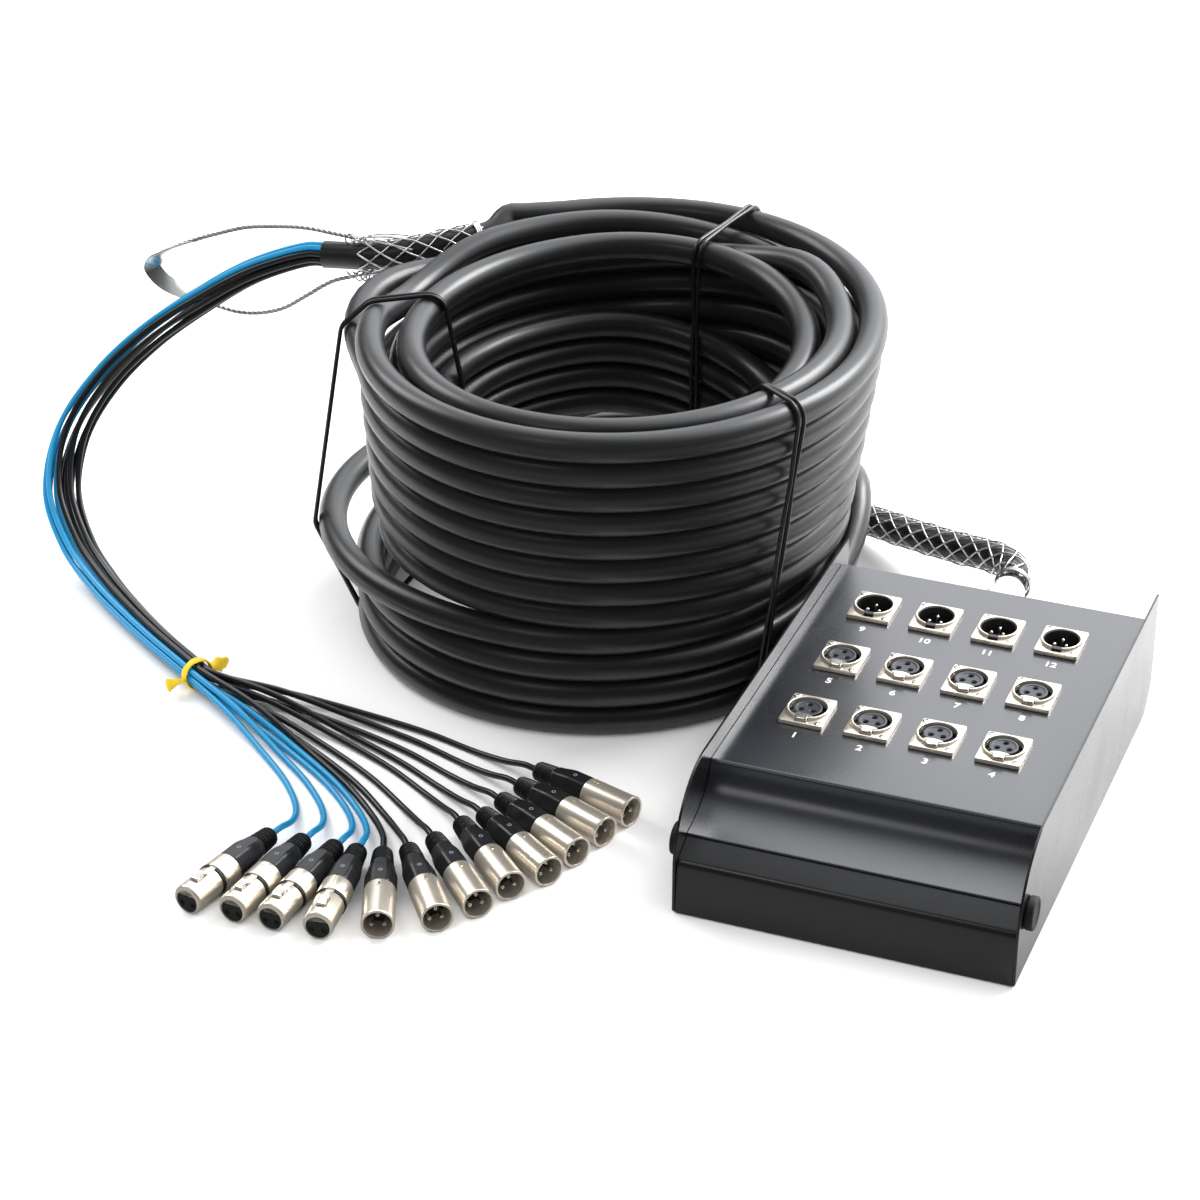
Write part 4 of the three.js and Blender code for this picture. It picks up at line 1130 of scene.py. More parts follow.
@dataclass(frozen=True)
class Plug:
    """A free plug along its own Z, from the cable entry to the nose, with +Y on top."""

    number: int
    gender: Gender
    place: PlugPlace
    radius: float = 9.3
    floor_gap: float = 0.1
    boot: float = 40.0
    collar: float = 15.5
    dome: float = 1.8
    rib_depth: float = 0.45
    rib_pitch: float = 2.1
    body_start: float = 7.3
    body_end: float = 9.25
    body_reach: float = 13.0
    flats: int = 6
    flat_share: float = 0.905
    mark_back: float = 10.0
    male_length: float = 72.0
    male_wall: float = 1.3
    male_cavity: float = 19.0
    female_length: float = 78.0
    seam_ahead: float = 13.5
    insert_drop: float = 1.0
    insert_radius: float = 6.85
    latch_back: float = 16.0
    latch_length: float = 9.0
    latch_width: float = 5.0
    latch_height: float = 3.0
    latch_proud: float = 1.0
    travel: float = 1.2
    slide: float = 0.35
    contacts: Contacts = Contacts()

    @property
    def length(self) -> float:
        """The plug's length from cable entry to nose."""
        return self.male_length if self.gender is Gender.MALE else self.female_length

    @property
    def seam(self) -> float:
        """Where the groove between the two parts of a female shell begins."""
        return self.boot + self.seam_ahead

    @property
    def node(self) -> str:
        """The plug's CAD node."""
        return f"plug_{self.gender.value}_{self.number}"

    def laid(self, patch: Patch) -> Patch:
        """Gives a patch turned from the plug's own axes to where the plug lies.

        Args:
            patch: The patch along the plug's own axes.

        Returns:
            The patch in place.
        """
        way = self.place.way
        axes = np.stack([np.cross(UP, way), UP, way])
        return patch.moved(axes, np.array([self.place.x, self.place.y, self.radius + self.floor_gap]))

    def boot_solid(self) -> Patch:
        """Makes the boot: a domed, ribbed collar and a body with six flats.

        The radius along the collar is a taper plus a small wave for the ribs. Round the body it is
        the nearer of the corner radius and the flat's distance over cos of the angle from its
        middle, blended in from the round collar.

        Returns:
            The closed boot.
        """
        dome = np.linspace(0, 1, 8)
        z = np.concatenate([
            self.dome * (1 - np.cos(dome * math.pi / 2)), np.linspace(1.9, self.collar, 76),
            np.linspace(self.collar + 0.1, self.boot - 0.6, 40), [self.boot - 0.15, self.boot],
        ])
        taper = blended(5.3, 6.5, np.clip(z / self.collar, 0, 1))
        fade = eased(z, 2, 3) * (1 - eased(z, self.collar - 1.6, self.collar - 0.6))
        ribs = self.rib_depth * fade * np.sin(z / self.rib_pitch * TURN)
        start = 3.0 + (taper[0] - 3.0) * np.sin(np.clip(z / self.dome, 0, 1) * math.pi / 2)
        collar = np.where(z < self.dome, start, taper + ribs)
        widened = eased(z, self.collar, self.collar + self.body_reach)
        body = blended(self.body_start, self.body_end, widened)
        body = np.where(z > self.boot - 0.5, body - 0.35 * (z - self.boot + 0.6), body)
        angle = circle(96) + math.pi / 2
        wedge = TURN / self.flats
        away = np.abs((angle + wedge / 2 - math.pi / 2) % wedge - wedge / 2)
        flat = np.minimum(1.0, self.flat_share / np.cos(away))
        share = eased(z, self.collar - 0.1, self.collar + 0.25)[:, None]
        radius = blended(collar[:, None] + 0 * angle, body[:, None] * flat, share)
        return surface(spun(radius, z[:, None], angle), caps=True)

    def mark_ring(self) -> Patch:
        """Makes a tiny pale ring mark on the boot's top flat."""
        mark = ring(oblong((0.75, 0), (1.25, 0.08)), 32)
        top = self.body_end * self.flat_share - 0.03
        return mark.moved(UPRIGHT, np.array([0, top, self.boot - self.mark_back]))

    def male_shell(self) -> Patch:
        """Makes the open shell of a male plug, with a rolled lip and a catch window.

        Returns:
            The closed shell.
        """
        outer, inner, floor = self.radius, self.radius - self.male_wall, self.length - self.male_cavity
        section = rounded(
            [(0, self.boot + 0.1), (outer - 0.25, self.boot + 0.1), (outer - 0.25, self.boot + 1.2),
             (outer, self.boot + 1.4), (outer, self.length - 2.3), (outer + 0.12, self.length - 2.1),
             (outer + 0.12, self.length), (inner, self.length), (inner, floor), (0, floor)], 0.35, 3,
        )
        shell = turned(section, 96)
        window = block((-0.7, outer - 1.0, self.boot + 3.2), (0.7, outer + 1, self.boot + 7))
        notch = block((-1.5, outer - 0.9, self.boot + 6.2), (2.6, outer + 1, self.boot + 7))
        return cut(shell, window, notch)

    def male_lining(self) -> Patch:
        """Makes the dark floor of a male plug's cavity."""
        inner, floor = self.radius - self.male_wall - 0.05, self.length - self.male_cavity
        return turned(rounded([(0, floor), (inner, floor), (inner, floor + 4), (inner - 1.2, floor + 4),
                               (inner - 1.4, floor + 3.4), (0, floor + 3.4)], 0.2, 2), 64)

    def female_shell(self) -> Patch:
        """Makes the shell of a female plug: a rear sleeve, a groove for its ring and a slimmer nose.

        Returns:
            The closed shell with the latch's pocket and the insert's bore.
        """
        outer, nose, seam = self.radius, self.radius - 0.45, self.seam
        section = rounded(
            [(0, self.boot + 0.1), (outer - 0.25, self.boot + 0.1), (outer - 0.25, self.boot + 1.0),
             (outer, self.boot + 1.2), (outer, seam), (nose - 0.6, seam), (nose - 0.6, seam + 2.6),
             (nose, seam + 2.6), (nose, self.length - 1.4), (nose - 0.6, self.length), (0, self.length)],
            0.4, 3,
        )
        shell = turned(section, 96)
        half, pocket = self.latch_width / 2 + self.slide, self.radius + self.latch_proud - self.latch_height
        back = self.length - self.latch_back - self.slide
        well = block((-half, pocket - self.travel - self.slide, back),
                     (half, self.radius + 2, back + self.latch_length + 2 * self.slide))
        bore = turned(oblong((0, self.length - 2.2), (6.9, self.length + 1)))
        slit = block((-0.3, outer - 0.8, self.boot - 0.5), (0.3, outer + 1, self.boot + 9))
        return joined(cut(shell, well, bore.at(0, -self.insert_drop, 0), slit), self.crescent())

    def crescent(self) -> Patch:
        """Makes the metal crescent that covers the insert's edge on the latch's side."""
        low, high = self.length - 1.2, self.length - 0.2
        outer = arc((0, -self.insert_drop), 6.95, 32, 148, 18)
        inner = arc((0, 10.5), 7.6, 215, 325, 14)
        return prism(np.vstack([outer, inner]), low, high)

    def female_insert(self) -> Patch:
        """Makes the dark face of a female plug with its three contact holes."""
        face = self.length - 0.5
        disc = turned(rounded(oblong((0, face - 1.6), (self.insert_radius, face)), 0.25, 3), 64)
        return cut(disc, *self.contacts.drills(face - 1.2, face, 1.25)).at(0, -self.insert_drop, 0)

    def seal(self) -> Patch:
        """Makes the black ring between the two parts of a female shell."""
        seam, outer = self.seam, self.radius
        section = rounded(oblong((outer - 1.1, seam + 0.1), (outer + 0.12, seam + 2.5)), 0.5, 4, closed=True)
        half = self.latch_width / 2 + self.slide
        return cut(ring(section, 80), block((-half, 6, seam - 1), (half, outer + 2, seam + 9)))

    def latch(self) -> Patch:
        """Makes the latch of a female plug: a pad with rounded corners and three grip grooves.

        Returns:
            The closed latch.
        """
        top, half = self.radius + self.latch_proud, self.latch_width / 2
        back = self.length - self.latch_back
        outline = rounded(oblong((-half, back), (half, back + self.latch_length)), 1.0, 4, closed=True)
        pad = prism(outline, 0, self.latch_height, 0.4)
        pad = pad.moved(UPRIGHT, np.array([0, top - self.latch_height, 0])).outward()
        grooves = [
            block((-half - 1, top - 0.35, back + 2.6 + 1.5 * i), (half + 1, top + 1, back + 3.3 + 1.5 * i))
            for i in range(3)
        ]
        return cut(pad, *grooves)

    def build(self) -> list[bpy.types.Object]:
        """Makes the plug's pieces where it lies.

        Returns:
            The pieces.
        """
        tag = f"{self.gender.value}_{self.number}"
        parts = [(self.mark_ring(), f"boot_mark_{tag}", Finishes.ring_paint)]
        if self.gender is Gender.MALE:
            pins = self.contacts.pins(self.length - self.male_cavity + 1, self.length - self.contacts.recess)
            parts += [
                (self.male_shell(), f"shell_{tag}", Finishes.nickel),
                (self.male_lining(), f"lining_{tag}", Finishes.plug_cavity),
                (pins, f"pins_{tag}", Finishes.contact),
            ]
        else:
            latch = f"plug_latch_{self.number}"
            parts += [
                (self.female_shell(), f"shell_{tag}", Finishes.nickel),
                (self.female_insert(), f"insert_{tag}", Finishes.plug_insert),
                (self.seal(), f"seal_{tag}", Finishes.seal_rubber),
                (self.latch(), f"latch_pad_{self.number}", Finishes.chrome, (latch,), latch),
            ]
        boot = self.laid(self.boot_solid())
        made = [add_piece(boot, f"boot_{tag}", Finishes.boot_plastic, (self.node,), smooth=28)]
        return made + [add_piece(self.laid(patch), *rest) for patch, *rest in parts]


# The multicore cable


@dataclass(frozen=True)
class Oval:
    """The coil's outer wall at one height: its middle and its half width and depth."""

    x: float
    y: float
    half_width: float
    half_depth: float

    def values(self) -> Array:
        """Gives the four sizes as an array."""
        return np.array([self.x, self.y, self.half_width, self.half_depth])


@dataclass(frozen=True)
class Bulge:
    """A place where the winding stands out and up: how far, at which turn and how far each way."""

    swell: float
    lift: float
    turn: float
    span: float

    def share(self, turns: Array) -> Array:
        """Gives cos² of the share of a quarter turn away, and 0 past the span."""
        away = np.minimum(np.abs(turns - self.turn) / self.span, 1)
        return np.cos(away * math.pi / 2) ** 2


@dataclass(frozen=True)
class Multicore:
    """The multicore cable: the lead from the gland, the coil and the lead to the tails."""

    radius: float = 8.9
    turn_pitch: float = 18.3
    layer_pitch: float = 18.9
    levels: int = 12
    wide_turns: int = 3
    inner_top: int = 8
    start: float = 80.0
    climb: float = 0.25
    floor_gap: float = 0.1
    gap: float = 0.3
    cad_steps: int = 24
    steps: int = 96
    turns: float = 23.125
    cross_start: float = 3.6
    cross_low: float = 4.38
    cross_end: float = 4.75
    step_out_end: float = 9.5
    fall_end: float = 15.2
    shift_start: float = 15.17
    outer_start: float = 15.42
    rim_start: float = 22.5
    flare_start: float = 22.8
    flare_end: float = 23.05
    foot: Oval = Oval(-257.5, 155, 147.5, 158)
    waist: Oval = Oval(-249, 146, 140, 147)
    rim: Oval = Oval(-237, 129, 150, 163)
    bulges: tuple[Bulge, ...] = (
        Bulge(12, 30, 2.86, 0.12), Bulge(27, 0, 3.28, 0.25), Bulge(0, 7, 9.92, 0.12),
        Bulge(24, 5, 21.26, 0.11), Bulge(0, -12, 22.26, 0.11),
    )
    box_route: tuple[tuple[float, float, float], ...] = (
        (0, 199, 48), (-9, 217, 46.5), (-26, 232, 42), (-47, 245, 36), (-71, 260, 30), (-96, 276, 24),
        (-120, 291, 19), (-145, 305, 13.5), (-172, 316, 9.4),
    )
    far_route: tuple[tuple[float, float, float], ...] = (
        (-371, 247, 204), (-397, 229, 199), (-422, 215, 194.5), (-447, 208, 191.5), (-472, 205, 190),
    )

    def climbs(self, turns: Array) -> Array:
        """Gives whole climbs: level through most of a turn, and up one level at the back."""
        whole = np.floor(turns + 0.5)
        return whole - 1 + eased(turns - whole, -self.climb / 2, self.climb / 2)

    @property
    def rise(self) -> float:
        """The turn at which the inner layer has reached its top."""
        return self.inner_top + self.climb / 2

    @property
    def fall(self) -> float:
        """The turn at which the middle layer starts its last way down."""
        return self.rise + self.levels - self.wide_turns - 2 - self.climb

    def level(self, turns: Array) -> Array:
        """Gives how many levels the cable has climbed after some turns.

        Args:
            turns: Turns from the lead.

        Returns:
            The levels: up outside, across to the inner layer, up, down in the middle and up again.
        """
        rise, climbs = self.rise, self.climbs(turns)
        ends = (self.cross_start, self.cross_end, rise, rise + 1, self.fall, self.outer_start, self.rim_start)
        across = self.wide_turns + eased(turns, self.cross_low, self.cross_end)
        risen = blended(self.inner_top, self.levels - 1, eased(turns, rise, rise + 1))
        fallen = self.wide_turns + 3 - 2 * eased(turns, self.fall, self.fall_end)
        levels = [np.maximum(climbs, 0), across, climbs, risen, self.levels + self.inner_top - climbs, fallen,
                  climbs - self.levels + 1]
        return np.select([turns < end for end in ends], levels, self.levels - 1)

    def inset(self, turns: Array) -> Array:
        """Gives how far inside the coil's outer wall the cable lies, in millimetres.

        Args:
            turns: Turns from the lead.

        Returns:
            The insets.
        """
        layer, out = self.layer_pitch, self.rise + 1
        crossed = np.clip((turns - self.cross_start) / (self.cross_low - self.cross_start), 0, 1)
        inward = (self.foot.half_width - self.waist.half_width + 2 * layer) * crossed**1.1
        dive = blended(inward, 2 * layer, eased(turns, self.cross_low, self.cross_end))
        ends = (self.cross_start, self.cross_end, out, self.fall, self.outer_start)
        insets = [-layer * (1 - eased(turns, 0, 0.155)), dive, 2 * layer,
                  layer * (2 - eased(turns, out, self.step_out_end)),
                  layer * (1 - eased(turns, self.shift_start, self.outer_start))]
        flare = -layer * eased(turns, self.flare_start, self.flare_end)
        return np.select([turns < end for end in ends], insets, flare)

    def wall(self, height: Array) -> Array:
        """Gives the coil's outer wall at each height, mixed between foot, waist and rim."""
        foot_top = self.radius + self.floor_gap + self.wide_turns * self.turn_pitch
        waist = foot_top + self.turn_pitch
        top = self.radius + self.floor_gap + (self.levels - 1) * self.turn_pitch
        low = np.clip((height - foot_top) / (waist - foot_top), 0, 1)[:, None]
        high = np.clip((height - waist) / (top - waist), 0, 1)[:, None]
        lower = blended(self.foot.values(), self.waist.values(), low)
        upper = blended(self.waist.values(), self.rim.values(), high)
        return np.where((height < waist)[:, None], lower, upper)

    def centres(self, turns: Array) -> Array:
        """Gives the cable's middle after some turns: the wall's ellipse less the inset.

        Args:
            turns: Turns from the lead.

        Returns:
            The points, wound anticlockwise as seen from above.
        """
        height = self.radius + self.floor_gap + self.level(turns) * self.turn_pitch
        wall = self.wall(height)
        inset = self.inset(turns) - sum(bulge.swell * bulge.share(turns) for bulge in self.bulges)
        lift = sum(bulge.lift * bulge.share(turns) ** 2 for bulge in self.bulges)
        angle = math.radians(self.start) + turns * TURN
        x = wall[:, 0] + (wall[:, 2] - inset) * np.cos(angle)
        y = wall[:, 1] + (wall[:, 3] - inset) * np.sin(angle)
        return np.stack([x, y, height + lift], -1)

    def ends(self) -> tuple[Array, Array]:
        """Gives the straight runs of one diameter before and after the winding.

        Returns:
            Two pairs of points: outer end first, then last point and outer end.
        """
        count = round(self.turns * self.cad_steps)
        line = self.centres(np.linspace(0, self.turns, count + 1))
        flat = np.array([1.0, 1.0, 0.0])
        before = unit((line[0] - line[1]) * flat)
        after = unit((line[-1] - line[-2]) * flat)
        run = 2 * self.radius
        return np.stack([line[0] + before * run, line[0]]), np.stack([line[-1], line[-1] + after * run])

    def box_lead(self) -> Array:
        """Gives the lead from the gland's mouth to the coil."""
        rear = node_box("top_cover")[1][1]
        gland = Gland()
        route = np.array(self.box_route, float)
        start = np.array([0, rear + gland.reach + self.gap, gland.z])
        outer, inner = self.ends()[0]
        way = unit(outer - inner)
        led, end = outer + way * (self.gap + 2 * self.radius), outer + way * self.gap
        points = [start, (start + route[0]) / 2, route[0], *route[1:], led, (led + end) / 2, end]
        return smooth_line(np.array(points), 60)

    def far_lead(self) -> Array:
        """Gives the lead from the coil to the cut end of the jacket."""
        inner, outer = self.ends()[1]
        way = unit(outer - inner)
        start, led = outer + way * self.gap, outer + way * (self.gap + 2 * self.radius)
        route = np.array(self.far_route, float)
        points = [start, (start + led) / 2, led, *route[:-1], (route[-2] + route[-1]) / 2, route[-1]]
        return smooth_line(np.array(points), 48)

    def line(self) -> Array:
        """Gives the whole cable's middle line from the gland to the cut end of its jacket."""
        count = round(self.turns * self.steps)
        coil = self.centres(np.linspace(0, self.turns, count + 1))
        first, last = self.ends()
        return np.vstack([self.box_lead(), first[:1], coil, last[1:], self.far_lead()])

    def build(self, with_pieces: list[bpy.types.Object]) -> None:
        """Makes the cable as one cord.

        Args:
            with_pieces: The pieces that sit on it; not used.
        """
        line = self.line()
        cable = add_piece(
            tube(line, self.radius, 28), "multicore_cable", Finishes.jacket,
            ("box_lead", "cable_coil", "far_lead"), smooth=60,
        )


# Tails


@dataclass(frozen=True)
class Tails:
    """Twelve thin cords that leave the jacket's end in a bundle and fan out to their plugs."""

    radius: float = 1.9
    outer_count: int = 9
    inner_count: int = 3
    outer_ring: float = 6.15
    inner_ring: float = 2.35
    bundle_steps: int = 12
    swell_side: float = 0.85
    swell_up: float = 0.3
    twist: float = 80.0
    twist_share: float = 0.65
    gap: float = 0.3
    floor_gap: float = 0.1
    plug_axis: float = 9.4
    tie_x: float = -454.0
    tie_y: float = -33.0
    tie_width: float = 9.0
    tie_wall: float = 1.6
    tie_room: float = 0.4
    entry: float = 36.0
    straight: float = 8.0
    reach_share: float = 0.6
    sunk: float = 10.0
    arch: float = 14.0
    fan_shares: tuple[float, ...] = (0.13, 0.3, 0.5, 0.7, 0.87, 1.0)
    route: tuple[tuple[float, float, float], ...] = (
        (-500, 200, 184), (-526, 191, 171), (-549, 181, 156), (-572, 170, 139), (-590, 158, 123),
        (-605, 145, 105), (-616, 131, 87), (-621, 116, 68), (-619, 101, 50), (-609, 85, 33),
        (-593, 70, 21), (-572, 53, 13.5), (-545, 32, 10.8), (-512, 6, 10.3),
    )

    def places(self) -> Array:
        """Gives each tail's place in the bundle, to its side and above, from the left."""
        outer = np.arange(self.outer_count) / self.outer_count
        inner = (np.arange(self.inner_count) + 1 / 6) / self.inner_count
        turn = np.concatenate([outer, inner]) * TURN
        radius = np.repeat([self.outer_ring, self.inner_ring], [self.outer_count, self.inner_count])
        places = np.stack([radius * np.cos(turn), radius * np.sin(turn)], -1)
        return places[np.lexsort((places[:, 1], places[:, 0].round(6)))]

    @property
    def bore(self) -> float:
        """Radius of the space inside the twist tie."""
        return self.outer_ring + self.radius + self.tie_room

    def tie_centre(self) -> Array:
        """Gives the middle of the twist tie, which stands on the floor."""
        return np.array([self.tie_x, self.tie_y, self.bore + self.tie_wall + self.floor_gap])

    def middle(self, jacket: Array, cable_radius: float) -> Array:
        """Gives the bundle's middle line from the jacket's end through the tie.

        Args:
            jacket: The last two points of the cable.
            cable_radius: The cable's radius.

        Returns:
            The line's points, the same as the bundle's steps in the model.
        """
        way = unit(jacket[1] - jacket[0])
        start = jacket[1] + way * self.gap
        centre, route = self.tie_centre(), np.array(self.route, float)
        along = unit((centre - route[-1]) * [1, 1, 0])
        led = start + way * cable_radius
        smooth = smooth_line(np.vstack([led, route, centre - along * self.tie_width]), self.bundle_steps)
        return np.vstack([start, smooth, centre, centre + along * self.tie_width])

    def beside(self, middle: Array, place: Array) -> Array:
        """Gives a tail's points beside the bundle's middle line.

        The bundle swells between its ends, and its first part is twisted, less and less along it.
        """
        way = np.vstack([middle[1] - middle[0], middle[2:] - middle[:-2], middle[-1] - middle[-2]])
        right = unit(np.cross(unit(way), UP))
        above = np.cross(right, unit(way))
        share = np.arange(len(middle))[:, None] / self.bundle_steps
        swell = np.sin(math.pi * np.clip(share, 0, 1)) ** 2
        twist = math.radians(self.twist) * (1 - eased(share, 0, self.twist_share))
        side = place[0] * np.cos(twist) - place[1] * np.sin(twist)
        rise = place[0] * np.sin(twist) + place[1] * np.cos(twist)
        beside = right * side * (1 + self.swell_side * swell)
        return middle + beside + above * rise * (1 + self.swell_up * swell)

    def fan(self, start: Array, place: PlugPlace) -> Array:
        """Gives a tail's points from the tie to its plug, along the floor.

        They lie on the cubic curve from the tie to the plug's entry, which leaves the tie a little
        to the left of the straight way and comes in along the plug's axis.

        Args:
            start: Where the tail leaves the tie.
            place: Where its plug lies.

        Returns:
            The points.
        """
        into = place.way
        entry = np.array([place.x, place.y, self.plug_axis]) - into * self.gap
        end = entry - into * self.straight
        end[2] = start[2]
        chord = end - start
        turn = math.radians(self.arch)
        out = np.array([
            chord[0] * math.cos(turn) - chord[1] * math.sin(turn),
            chord[0] * math.sin(turn) + chord[1] * math.cos(turn),
            chord[2],
        ])
        first = start + unit(out) * np.linalg.norm(chord) * self.reach_share
        second = end - into * self.entry
        share = np.array(self.fan_shares)[:, None]
        curve = ((1 - share) ** 3 * start + 3 * share * (1 - share) ** 2 * first
                 + 3 * share**2 * (1 - share) * second + share**3 * end)
        share = share[:, 0]
        fallen = blended(start[2], self.radius + self.floor_gap, eased(share, 0, 0.4))
        curve[:, 2] = blended(fallen, self.plug_axis, eased(share, 0.75, 1))
        return np.vstack([curve, entry, entry + into * self.sunk])

    def build(self, cable: Array, cable_radius: float, plugs: dict[str, list[bpy.types.Object]]) -> None:
        """Makes the twelve tails as cords.

        Args:
            cable: The cable's middle line.
            cable_radius: Its radius.
            plugs: The pieces of each plug, by the plug's node; not used.
        """
        middle = self.middle(cable[-2:], cable_radius)
        order = [(Gender.MALE, i + 1, place) for i, place in enumerate(MALE_PLACES)][::-1]
        order += [(Gender.FEMALE, i + 1, place) for i, place in enumerate(FEMALE_PLACES)][::-1]
        for place, (gender, number, plug_place) in zip(self.places(), order):
            bundled = self.beside(middle, place)
            points = np.vstack([bundled, self.fan(bundled[-1], plug_place)])
            line = smooth_line(points, 180)
            node = f"tail_{gender.value}_{number}"
            finish = Finishes.tail_black if gender is Gender.MALE else Finishes.tail_blue
            tail = add_piece(tube(line, self.radius, 12), f"{node}_cord", finish, (node,), smooth=60)


@dataclass(frozen=True)
class TwistTie:
    """The yellow tie round the tails: a lumpy band whose ends are twisted flat at both sides."""

    tails: Tails = Tails()
    lobe: float = 13.0
    lobe_half: float = 4.3
    lobe_thick: float = 1.5
    band_half: float = 2.7
    band_thick: float = 0.8

    def lobe_strip(self) -> Patch:
        """Makes one twisted end: a flattened tube whose section turns as it goes out.

        A wave along it swells its half width, and it turns a third of a turn over its length.

        Returns:
            The end along +X, with its foot at the origin.
        """
        along = np.linspace(0, 1, 40)
        angle = circle(32)
        wave = 1 + 0.12 * np.sin(along * TURN * 2.5)
        close = np.sqrt(np.clip(1 - ((along - 0.5) / 0.5) ** 8, 0.02, 1))
        wide = self.lobe_half * wave * close * blended(0.6, 1.0, eased(along, 0, 0.4))
        thick = self.lobe_thick * close
        turn = along * TURN / 3
        y, z = wide[:, None] * np.cos(angle), thick[:, None] * np.sin(angle)
        side = y * np.cos(turn)[:, None] - z * np.sin(turn)[:, None]
        above = y * np.sin(turn)[:, None] + z * np.cos(turn)[:, None]
        grid = np.stack([along[:, None] * self.lobe + 0 * angle, side, above], -1)
        return surface(grid, caps=True)

    def band(self) -> Patch:
        """Makes the band: a ring whose section swells in a slow wave round it.

        Returns:
            The ring about the X axis.
        """
        inner = self.tails.bore + 0.1
        turn = circle(120)
        section = circle(20)
        wide = self.band_half * (1 + 0.1 * np.sin(turn * 5))
        x = wide[:, None] * np.cos(section)
        radius = inner + 0.85 + self.band_thick * np.sin(section)[None] + 0 * x
        grid = np.stack([x, radius * np.cos(turn)[:, None], radius * np.sin(turn)[:, None]], -1)
        return surface(grid, wrap_rows=True)

    def build(self) -> None:
        """Makes the tie where it holds the bundle."""
        centre = self.tails.tie_centre()
        way = unit((centre - np.array(self.tails.route[-1])) * [1, 1, 0])
        side = np.cross(UP, way)
        axes = np.stack([way, side, UP])
        reach = self.tails.bore + 0.4
        lobes = [
            self.lobe_strip().moved(
                np.array([[0, out, 0], [-out, 0, 0], UP]), np.array([0, out * reach, rise])
            )
            for out, rise in ((1, 1.2), (-1, -1.8))
        ]
        whole = joined(self.band(), *lobes).moved(axes, centre)
        add_piece(whole, "yellow_tie", Finishes.tie_yellow, ("twist_tie",), smooth=50)


# Wire grips and pulling eye


@dataclass(frozen=True)
class WireGrip:
    """A tube of crossing wires over a stretch of the cable."""

    name: str
    node: str
    start: float
    end: float
    wires: int = 6
    wire: float = 0.55
    pitch: float = 96.0
    cable_radius: float = 8.9
    seat: float = 1.15
    collar_seat: float = 2.1
    collar_wire: float = 0.6
    collar_pitch: float = 1.25
    collar_turns: int = 3

    def strands(self, line: Array) -> Patch:
        """Makes the wires: helices of both hands that pass over and under each other.

        A wire's angle is its own start plus or minus a turn per pitch. Its radius is the cable's,
        the wire's own and half a wire more or less by the cosine of how far it is from a crossing.

        Args:
            line: The stretch of the cable's middle line under the grip.

        Returns:
            All wires.
        """
        line = evenly(line, 150)
        _, side, above = axes_along(line)
        along = lengths_along(line)
        made = []
        for hand in (1, -1):
            for number in range(self.wires):
                turn = number / self.wires * TURN + hand * along / self.pitch * TURN
                weave = hand * np.cos(2 * self.wires * along / self.pitch * TURN / 2 + number * math.pi)
                radius = self.cable_radius + self.seat + 0.5 * self.wire * weave
                out = around(turn, side, above)
                made.append(tube(line + radius[:, None] * out, self.wire, 7, hint=out))
        return joined(*made)

    def collar(self, line: Array, at: float) -> Patch:
        """Makes the turns of wire that bind the grip at one end."""
        line = evenly(line, 400)
        along = lengths_along(line)
        near = np.argsort(np.abs(along - at))[0]
        way, side, above = (axis[near] for axis in axes_along(line))
        turn = np.linspace(0, self.collar_turns * TURN, 140)
        radius = self.cable_radius + self.collar_seat
        out = around(turn, side, above)
        spiral = line[near] + radius * out + (turn / TURN * self.collar_pitch)[:, None] * way
        return tube(spiral, self.collar_wire, 7, hint=out)

    def build(self, line: Array) -> bpy.types.Object:
        """Makes the grip on its stretch of the cable.

        Args:
            line: The cable's middle line.

        Returns:
            The grip.
        """
        along = lengths_along(line)
        inside = line[(along >= self.start) & (along <= self.end)]
        mesh = joined(self.strands(inside), self.collar(inside, 2.0))
        return add_piece(mesh, self.name, Finishes.mesh_wire, (self.node,), smooth=60)


